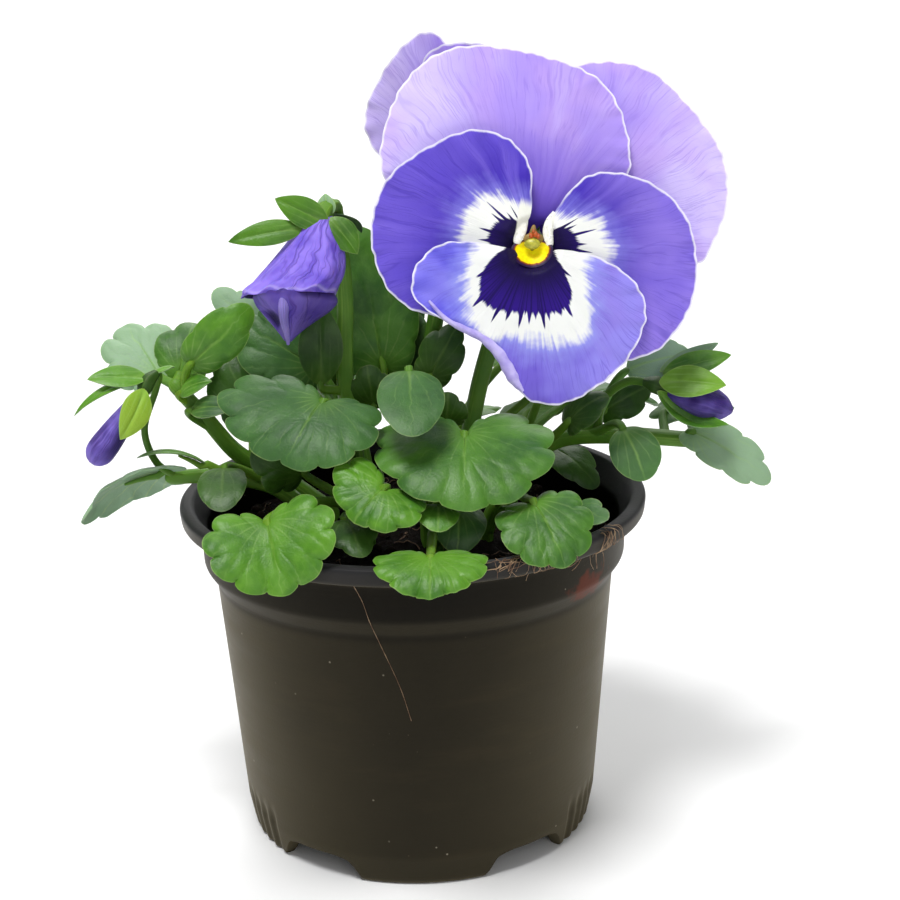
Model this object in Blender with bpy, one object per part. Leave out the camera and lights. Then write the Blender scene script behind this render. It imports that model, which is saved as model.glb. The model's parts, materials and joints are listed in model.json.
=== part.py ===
"""Potted marina horned violet, modelled for a 9 cm nursery pot.

The origin is on the surface that the pot stands on, under the middle of the whole plant's box.
Sizes below are in millimetres from the pot's own axis, which stands at POT_AT.
The viewer of the open bloom stands on the -Y side.
"""

import math

import bpy
import numpy as np

MM = 0.001
POT_AT = (-2.8, 1.0, 0.0)

# Pot
RIM_RADIUS = 45.0
RIM_HEIGHT = 67.3
FLANGE_WIDTH = 2.6
LIP_DEPTH = 3.2
COLLAR_RADIUS = 40.9
COLLAR_BOTTOM = 55.8
WALL_TOP_RADIUS = 38.7
WALL_TOP = 52.5
WALL_FOOT_RADIUS = 35.2
WALL_FOOT = 6.0
BASE_RADIUS = 33.6
WALL = 1.1
FLOOR_UNDER = 3.2
FLOOR_TOP = 4.6
FOOT_INNER_RADIUS = 31.4
FEET = 5
NOTCH_HALF_ANGLE = 16.5
NOTCH_RISE = 5.0
NOTCH_INNER_RADIUS = 30.4
# Outline of a notch as shares of its half angle and of its rise
NOTCH_OUTLINE = [
    (-1.0, -1.0), (-1.0, 0.0), (-0.72, 0.86), (-0.45, 1.0),
    (0.45, 1.0), (0.72, 0.86), (1.0, 0.0), (1.0, -1.0),
]
POT_SIDES = 45
SOIL_SIDES = 24

# Soil
SEAT_GAP = 0.3
SOIL_TOP = 59.0
SOIL_BUMP = 0.9
HOLE_GAP = 0.45
HOLE_ABOVE = 2.0

# Plant
BLADE = 0.8
PETAL_BLADE = 0.7
STEM_SIDES = 6
STEM_STEPS = 2
STALK_SIDES = 5
STALK_FOOT_RADIUS = 1.1
STALK_RADIUS = 0.85
RIB_RADIUS = 0.55
RIB_SINK = 0.35
STALK_RUN = 0.3
STALK_STEEP = 1.6
LONG_STALK = 12

# Open bloom: its throat, the way it faces, and how far each layer stands before the side petals
BLOOM_AT = (22.7, -15.0, 117.1)
BLOOM_FACING = (-0.07, -0.981, 0.178)
BLOOM_UP = (0.03, 0.33, 0.94)
BACK_BLOOM_AT = (14.0, 15.0, 121.6)
BACK_BLOOM_FACING = (0.38, 0.925, 0.0)
BACK_BLOOM_UP = (0.0, 0.0, 1.0)
CLAW_RING = 5.2
RING_SHARE = 0.58
CALYX = [(-8.8, 1.5), (-7.6, 2.6), (-6.2, 2.6), (-2.0, 0.9)]
SEPAL_ROOT_DEPTH = -7.0
SEPAL_ROOT_RADIUS = 1.2
SEPAL_TIP_DEPTH = -9.75
SEPAL_REACH = 12.5
SEPAL_WIDTH = 3.8
SPUR = [(0, -2.7, -0.6), (0, -4.0, -4), (0, -4.2, -8), (0, -4.0, -11)]
SPUR_RADII = [0.9, 1.05, 1.1, 0.8]
SEPAL_ANGLES = [18, 90, 162, 222, 318]
PISTIL = [(0, 0, -1.6), (0, 0, -0.6), (0, 0.1, 0.2), (0, 0.1, 0.9)]
PISTIL_RADII = [0.45, 0.6, 0.95, 0.5]


def unit(v):
    v = np.asarray(v, float)
    return v / np.linalg.norm(v)


def frame_of(along, facing):
    """Right-handed axes: along, across and out, with out as near to facing as it can be."""
    ex = unit(along)
    facing = np.asarray(facing, float)
    ez = unit(facing - ex * (facing @ ex))
    return np.array([ex, np.cross(ez, ex), ez])


def smooth_path(points, steps):
    """Catmull-Rom curve through the points, with steps pieces between each pair."""
    p = np.asarray(points, float)
    p = np.vstack([2 * p[0] - p[1], p, 2 * p[-1] - p[-2]])
    out = []
    for i in range(1, len(p) - 2):
        for t in np.arange(steps) / steps:
            out.append(
                0.5 * (
                    2 * p[i]
                    + (p[i + 1] - p[i - 1]) * t
                    + (2 * p[i - 1] - 5 * p[i] + 4 * p[i + 1] - p[i + 2]) * t * t
                    + (3 * p[i] - p[i - 1] - 3 * p[i + 1] + p[i + 2]) * t ** 3
                )
            )
    out.append(p[-2])
    return np.array(out)


def at_share(path, share):
    """The point at a share of a path's length, and the path's direction there."""
    step = np.linalg.norm(np.diff(path, axis=0), axis=1)
    way = np.concatenate([[0], np.cumsum(step)]) / step.sum()
    here = np.array([np.interp(share, way, path[:, k]) for k in range(3)])
    i = min(np.searchsorted(way, share, side="right"), len(path) - 1)
    return here, unit(path[i] - path[i - 1])


def tube(path, radii, sides):
    """Closed tube along a path, with a flat cap at each end."""
    path = np.asarray(path, float)
    radii = np.broadcast_to(radii, len(path))
    tangents = [unit(path[min(i + 1, len(path) - 1)] - path[max(i - 1, 0)]) for i in range(len(path))]
    side = np.cross(tangents[0], (0.3, 0.5, 0.81))
    verts = []
    for point, tangent, radius in zip(path, tangents, radii):
        side = unit(side - tangent * (side @ tangent))
        other = np.cross(tangent, side)
        for k in range(sides):
            turn = 2 * math.pi * k / sides
            verts.append(point + radius * (math.cos(turn) * side + math.sin(turn) * other))
    faces = []
    for i in range(len(path) - 1):
        for k in range(sides):
            a = i * sides + k
            b = i * sides + (k + 1) % sides
            faces.append((a, b, b + sides, a + sides))
    faces.append(tuple(range(sides - 1, -1, -1)))
    last = (len(path) - 1) * sides
    faces.append(tuple(range(last, last + sides)))
    return np.array(verts), faces


def zip_rings(outer, inner, outer_start, inner_start):
    """Triangles between two closed rings, matched by the share of the way round of each point."""
    faces = []
    i, j = 0, -1
    count_outer, count_inner = len(outer), len(inner)

    def share_of(shares, k):
        return shares[k % len(shares)] + k // len(shares)

    while i < count_outer or j < count_inner - 1:
        next_outer = share_of(outer, i + 1)
        next_inner = share_of(inner, j + 1)
        a = outer_start + i % count_outer
        b = inner_start + j % count_inner
        if i < count_outer and (j >= count_inner - 1 or next_outer <= next_inner):
            faces.append((a, outer_start + (i + 1) % count_outer, b))
            i += 1
        else:
            faces.append((a, inner_start + (j + 1) % count_inner, b))
            j += 1
    return faces


def sheet(edge_at, centre, shares, inner_counts, lift, place, thickness):
    """A thin closed blade: rings of its flat outline shrunk to a centre, lifted and given a thickness.

    edge_at gives the flat outline at shares of the way round, lift the height of flat points,
    and place turns flat points and heights into places in space.
    """
    rings = [(np.asarray(shares, float), 1.0)]
    for count, scale in inner_counts:
        rings.append(((np.arange(count) + 0.5) / count, scale))
    flat, scales, ways, starts = [], [], [], []
    for ring, scale in rings:
        starts.append(sum(len(f) for f in flat))
        flat.append(centre + (edge_at(ring) - centre) * scale)
        scales.append(np.full(len(ring), scale))
        ways.append(ring)
    flat.append(np.array([centre], float))
    scales.append([0.0])
    ways.append([0.5])
    flat = np.vstack(flat)
    mid = place(flat, lift(flat, np.concatenate(ways), np.concatenate(scales)))
    faces = []
    for k in range(len(rings) - 1):
        faces += zip_rings(rings[k][0], rings[k + 1][0], starts[k], starts[k + 1])
    last, count = starts[-1], len(rings[-1][0])
    hub = len(flat) - 1
    faces += [(last + i, last + (i + 1) % count, hub) for i in range(count)]
    tri = np.array(faces)
    normals = np.zeros_like(mid)
    cross = np.cross(mid[tri[:, 1]] - mid[tri[:, 0]], mid[tri[:, 2]] - mid[tri[:, 0]])
    for k in range(3):
        np.add.at(normals, tri[:, k], cross)
    normals /= np.linalg.norm(normals, axis=1)[:, None]
    verts = np.vstack([mid + normals * thickness / 2, mid - normals * thickness / 2])
    n = len(mid)
    out = [tuple(f) for f in tri] + [(c + n, b + n, a + n) for a, b, c in tri]
    around = len(shares)
    for i in range(around):
        j = (i + 1) % around
        out += [(i, n + j, j), (i, n + i, n + j)]
    return verts, out


def leaf_edge(length, width, taper, lobes, notch, gap, skew):
    """The flat outline of a leaf with rounded teeth, from its stalk round the tip and back.

    gap is half the angle that stays open behind the stalk, and skew widens one half of the blade.
    """
    turn = np.linspace(-math.pi, math.pi, 721)
    reach = ((1 + np.cos(turn)) / 2) ** taper
    heading = turn * (1 - gap / 180)
    along = length * reach * np.cos(heading)
    across = reach * np.sin(heading)
    across *= width / 2 / across.max()
    across *= 1 + skew * np.sign(across)
    way = np.concatenate([[0], np.cumsum(np.hypot(np.diff(along), np.diff(across)))])
    way /= way[-1]
    centre = np.array([0.36 * length, 0.0])

    def edge_at(share):
        points = np.column_stack([np.interp(share, way, along), np.interp(share, way, across)])
        if lobes:
            cut = notch * (1 - np.abs(np.sin(math.pi * lobes * share)) ** 0.6)
            cut *= np.clip(np.minimum(share, 1 - share) / 0.07, 0, 1)
            points = centre + (points - centre) * (1 - cut)[:, None]
        return points

    return edge_at, centre


def leaf(
    base, tip, width, facing, taper=0.75, lobes=9, notch=0.16, arch=0.5, fold=0.0, gap=0.0, skew=0.0
):
    """A leaf blade from base to tip. arch bows it along and fold lifts its halves."""
    base = np.asarray(base, float)
    axes = frame_of(np.asarray(tip, float) - base, facing)
    length = np.linalg.norm(np.asarray(tip, float) - base)
    edge_at, centre = leaf_edge(length, width, taper, lobes, notch, gap, skew)

    def lift(flat, way, scale):
        t = flat[:, 0] / length
        half = 0.06 * width
        keel = np.sqrt(flat[:, 1] ** 2 + half * half) - half
        return arch * length * (t - t * t) + fold * keel

    def place(flat, height):
        return base + np.column_stack([flat, height]) @ axes

    if lobes:
        shares = (np.arange(lobes)[:, None] + np.array([0.0, 0.31, 0.69])).ravel() / lobes
        rings = [(lobes, RING_SHARE)] if lobes > 6 else []
    else:
        shares = np.array([0.0, 0.14, 0.3, 0.43, 0.5, 0.57, 0.7, 0.86])
        rings = []
    return sheet(edge_at, centre, shares, rings, lift, place, BLADE)


def leaf_stalk(start, heading, base, tip, facing, taper, arch):
    """A leaf stalk that leaves its stem at start and runs on under the blade as its rib.

    It comes up behind a blade whose low taper makes lobes on both sides of the stalk.
    """
    start, base, tip = (np.asarray(v, float) for v in (start, base, tip))
    axes = frame_of(tip - base, facing)
    length = np.linalg.norm(tip - base)
    gap = np.linalg.norm(base - start)
    leave = start + unit(heading) * gap * 0.38
    steep = STALK_STEEP if taper < 0.5 else arch
    arrive = base - unit(axes[0] + axes[2] * steep) * gap * 0.3
    points = []
    for t in np.linspace(0, 1, 5 if gap > LONG_STALK else 3):
        early = (1 - t) ** 3 * start + 3 * t * (1 - t) ** 2 * leave
        late = 3 * t * t * (1 - t) * arrive + t ** 3 * base
        points.append(early + late)
    rise = arch * length * (STALK_RUN - STALK_RUN ** 2) - RIB_SINK
    points.append(base + axes[0] * STALK_RUN * length + axes[2] * rise)
    radii = np.linspace(STALK_FOOT_RADIUS, STALK_RADIUS, len(points))
    radii[-1] = RIB_RADIUS
    return tube(points, radii, STALK_SIDES)


def calyx(at, facing, up):
    """The green cup behind a flower, with five narrow sepals. facing is the way the flower looks."""
    z = unit(facing)
    axes = frame_of(np.cross(up, z), z)
    at = np.asarray(at, float)
    parts = [tube([at + z * depth for depth, _ in CALYX], [radius for _, radius in CALYX], 8)]
    for angle in np.radians(SEPAL_ANGLES):
        out = axes[0] * math.cos(angle) + axes[1] * math.sin(angle)
        root = at + z * SEPAL_ROOT_DEPTH + out * SEPAL_ROOT_RADIUS
        tip = at + z * SEPAL_TIP_DEPTH + out * SEPAL_REACH
        parts.append(leaf(root, tip, SEPAL_WIDTH, z, taper=1.5, lobes=0, arch=-0.2))
    return parts


def sepal(base, tip, width, facing, arch=0.3):
    return leaf(base, tip, width, facing, taper=1.2, lobes=0, arch=arch)


def closed_curve(points, share):
    """A smooth closed outline through hand-placed points, read at shares of the way round."""
    loop = np.asarray(points, float)
    loop = np.vstack([loop, loop[:2]])
    dense = smooth_path(np.vstack([loop[-3], loop]), 16)[16:-16]
    way = np.concatenate([[0], np.cumsum(np.linalg.norm(np.diff(dense, axis=0), axis=1))])
    way /= way[-1]
    return np.column_stack([np.interp(share, way, dense[:, 0]), np.interp(share, way, dense[:, 1])])


def petal(bloom, outline, layer, drop, curls=(), bow=0.0022, around=26, extra=()):
    """One petal: layer is its height before the side petals and drop how far its claw sinks.

    curls lists edge stretches that turn to the viewer: angle from the throat, spread and height.
    """
    at, facing, up = bloom
    z = unit(facing)
    axes = frame_of(np.cross(up, z), z)
    outline = np.asarray(outline, float)
    shares = np.arange(around) / around

    def edge_at(share):
        return closed_curve(outline, share)

    centre = edge_at(np.linspace(0, 1, 60)[:-1]).mean(axis=0)

    def lift(flat, way, scale):
        reach = np.hypot(flat[:, 0], flat[:, 1])
        angle = np.degrees(np.arctan2(flat[:, 1], flat[:, 0]))
        sink = 1 - np.clip((reach - 1.7) / (CLAW_RING - 1.7), 0, 1)
        height = layer - drop * sink - bow * reach ** 2
        for toward, spread, rise in curls:
            off = (angle - toward + 180) % 360 - 180
            height = height + rise * np.exp(-((off / spread) ** 2)) * scale ** 3 * (1 - sink)
        return height

    def place(flat, height):
        return np.asarray(at, float) + np.column_stack([flat, height]) @ axes

    rings = [(around // 2, 0.6)]
    return [sheet(edge_at, centre, shares, rings, lift, place, PETAL_BLADE)] + list(extra)


def place_in_bloom(bloom, points):
    at, facing, up = bloom
    z = unit(facing)
    axes = frame_of(np.cross(up, z), z)
    return np.asarray(at, float) + np.asarray(points, float) @ axes


def material(name, colour, roughness):
    made = bpy.data.materials.get(name)
    if made is None:
        made = bpy.data.materials.new(name)
        made.use_nodes = True
        shader = made.node_tree.nodes["Principled BSDF"]
        shader.inputs["Base Color"].default_value = (*colour, 1.0)
        shader.inputs["Roughness"].default_value = roughness
        shader.inputs["Metallic"].default_value = 0.0
    return made


def mesh_object(name, verts, faces):
    mesh = bpy.data.meshes.new(name)
    places = (np.asarray(verts, float) + POT_AT) * MM
    mesh.from_pydata(places.tolist(), [], [tuple(f) for f in faces])
    mesh.validate()
    made = bpy.data.objects.new(name, mesh)
    bpy.context.scene.collection.objects.link(made)
    return made


def apply_modifiers(made):
    graph = bpy.context.evaluated_depsgraph_get()
    mesh = bpy.data.meshes.new_from_object(made.evaluated_get(graph))
    made.modifiers.clear()
    made.data = mesh


def boolean(made, others, operation, solver):
    """Joins to or cuts from one object a collection of others, which are then removed."""
    helpers = bpy.data.collections.new("helpers")
    bpy.context.scene.collection.children.link(helpers)
    for other in others:
        bpy.context.scene.collection.objects.unlink(other)
        helpers.objects.link(other)
    step = made.modifiers.new("join", "BOOLEAN")
    step.operation = operation
    step.solver = solver
    step.operand_type = "COLLECTION"
    step.collection = helpers
    apply_modifiers(made)
    for other in others:
        bpy.data.objects.remove(other)
    bpy.data.collections.remove(helpers)


def add_node(name, parts, look):
    """One named object of one or more closed shapes, joined into a single body."""
    made = mesh_object(name, *parts[0])
    if len(parts) > 1:
        others = [mesh_object("join_%d" % i, *part) for i, part in enumerate(parts[1:])]
        # EXACT leaves edges that touch where a stalk runs under a thin blade, so these are MANIFOLD
        boolean(made, others, "UNION", "MANIFOLD")
    made.data.materials.clear()
    made.data.materials.append(look)
    made.data.shade_smooth()
    made.data.set_sharp_from_angle(angle=math.radians(40))
    return made


def turned(profile, sides, top=None):
    """A closed turned solid from (radius, height) points. A zero radius makes a point on the axis."""
    verts, rings, faces = [], [], []
    for radius, height in profile:
        if radius == 0:
            rings.append([len(verts)])
            verts.append((0.0, 0.0, height))
            continue
        rings.append(list(range(len(verts), len(verts) + sides)))
        for k in range(sides):
            turn = 2 * math.pi * k / sides
            verts.append((radius * math.cos(turn), radius * math.sin(turn), height))
    closed = profile[0][0] != 0
    pairs = list(zip(rings, rings[1:] + rings[:1])) if closed else list(zip(rings, rings[1:]))
    for low, high in pairs:
        for k in range(sides):
            low_pair = [low[k % len(low)], low[(k + 1) % len(low)]]
            high_pair = [high[(k + 1) % len(high)], high[k % len(high)]]
            face = []
            for v in low_pair + high_pair:
                if v not in face:
                    face.append(v)
            if len(face) > 2:
                faces.append(tuple(face))
    verts = np.array(verts, float)
    if top is not None:
        verts[:, 2] += top(verts)
    return verts, faces


def wall_radius(height):
    """Outer radius of the tapering wall."""
    share = (height - WALL_FOOT) / (WALL_TOP - WALL_FOOT)
    return WALL_FOOT_RADIUS + share * (WALL_TOP_RADIUS - WALL_FOOT_RADIUS)


def make_pot(look):
    inner_rim = RIM_RADIUS - FLANGE_WIDTH
    profile = [
        (0, FLOOR_UNDER),
        (FOOT_INNER_RADIUS, FLOOR_UNDER),
        (FOOT_INNER_RADIUS + 0.3, 0.0),
        (BASE_RADIUS, 0.0),
        (BASE_RADIUS + 0.6, 0.6),
        (WALL_FOOT_RADIUS, WALL_FOOT),
        (WALL_TOP_RADIUS, WALL_TOP),
        (COLLAR_RADIUS, COLLAR_BOTTOM),
        (COLLAR_RADIUS + 0.2, RIM_HEIGHT - LIP_DEPTH - 1.2),
        (RIM_RADIUS - 0.3, RIM_HEIGHT - LIP_DEPTH),
        (RIM_RADIUS, RIM_HEIGHT - 0.5),
        (RIM_RADIUS - 0.5, RIM_HEIGHT),
        (inner_rim, RIM_HEIGHT),
        (COLLAR_RADIUS - WALL, RIM_HEIGHT - LIP_DEPTH - 1.2),
        (COLLAR_RADIUS - WALL, COLLAR_BOTTOM + 0.4),
        (WALL_TOP_RADIUS - WALL, WALL_TOP),
        (WALL_FOOT_RADIUS - WALL, WALL_FOOT),
        (WALL_FOOT_RADIUS - WALL, FLOOR_TOP),
        (0, FLOOR_TOP),
    ]
    pot = mesh_object("pot", *turned(profile, POT_SIDES))
    cutters = []
    for k in range(FEET):
        middle = -90 + 360 / FEET * (k + 0.5)
        ring = []
        for share, rise in NOTCH_OUTLINE:
            ring.append((math.radians(middle + share * NOTCH_HALF_ANGLE), rise * NOTCH_RISE))
        verts = []
        for radius in (NOTCH_INNER_RADIUS, RIM_RADIUS):
            verts += [(radius * math.cos(a), radius * math.sin(a), h) for a, h in ring]
        n = len(ring)
        faces = [(i, n + i, n + (i + 1) % n, (i + 1) % n) for i in range(n)]
        faces += [tuple(range(n)), tuple(range(2 * n - 1, n - 1, -1))]
        cutters.append(mesh_object("notch_%d" % k, verts, faces))
    boolean(pot, cutters, "DIFFERENCE", "EXACT")
    pot.data.materials.clear()
    pot.data.materials.append(look)
    pot.data.shade_smooth()
    pot.data.set_sharp_from_angle(angle=math.radians(35))
    return pot


def make_soil(stems, look):
    def bumps(verts):
        high = np.clip((verts[:, 2] - SOIL_TOP + 4) / 4, 0, 1)
        x, y = verts[:, 0], verts[:, 1]
        wave = np.sin(0.31 * x + 1.3) * np.cos(0.27 * y) + 0.6 * np.sin(0.55 * y - 0.42 * x)
        return SOIL_BUMP * wave * high

    gap = SEAT_GAP
    profile = [
        (0, FLOOR_TOP + gap),
        (WALL_FOOT_RADIUS - WALL - gap, FLOOR_TOP + gap),
        (WALL_FOOT_RADIUS - WALL - gap, WALL_FOOT),
        (WALL_TOP_RADIUS - WALL - gap, WALL_TOP),
        (COLLAR_RADIUS - WALL - 2 * gap, COLLAR_BOTTOM + 1.2),
        (COLLAR_RADIUS - WALL - 2 * gap, SOIL_TOP - 1.5),
        (34, SOIL_TOP - 0.4),
        (25, SOIL_TOP),
        (12, SOIL_TOP + 0.6),
        (0, SOIL_TOP + 0.8),
    ]
    soil = mesh_object("soil", *turned(profile, SOIL_SIDES, bumps))
    cutters = []
    for foot, upper, radius in stems:
        route = np.array([foot, upper], float) + [(0, 0, -HOLE_GAP), (0, 0, HOLE_ABOVE)]
        cutters.append(mesh_object("hole", *tube(route, radius + 0.3 + HOLE_GAP, 8)))
    boolean(soil, cutters, "DIFFERENCE", "EXACT")
    soil.data.materials.clear()
    soil.data.materials.append(look)
    soil.data.shade_smooth()
    soil.data.set_sharp_from_angle(angle=math.radians(40))
    return soil


UP = (0, 0, 1)
FRONT_UP = (0, -0.6, 0.8)
FRONT = (0, -0.9, 0.42)
BACK_UP = (0, 0.35, 0.94)

# Values of the broad kidney-shaped leaves that spread over the rim
KIDNEY = {"lobes": 11, "taper": 0.2, "notch": 0.12, "gap": 32, "arch": 0.3}
# Values of the small round leaves, whose stalk stands on the blade's own circle
ROUND = {"lobes": 5, "taper": 0.5, "notch": 0.03, "gap": 90}

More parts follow.
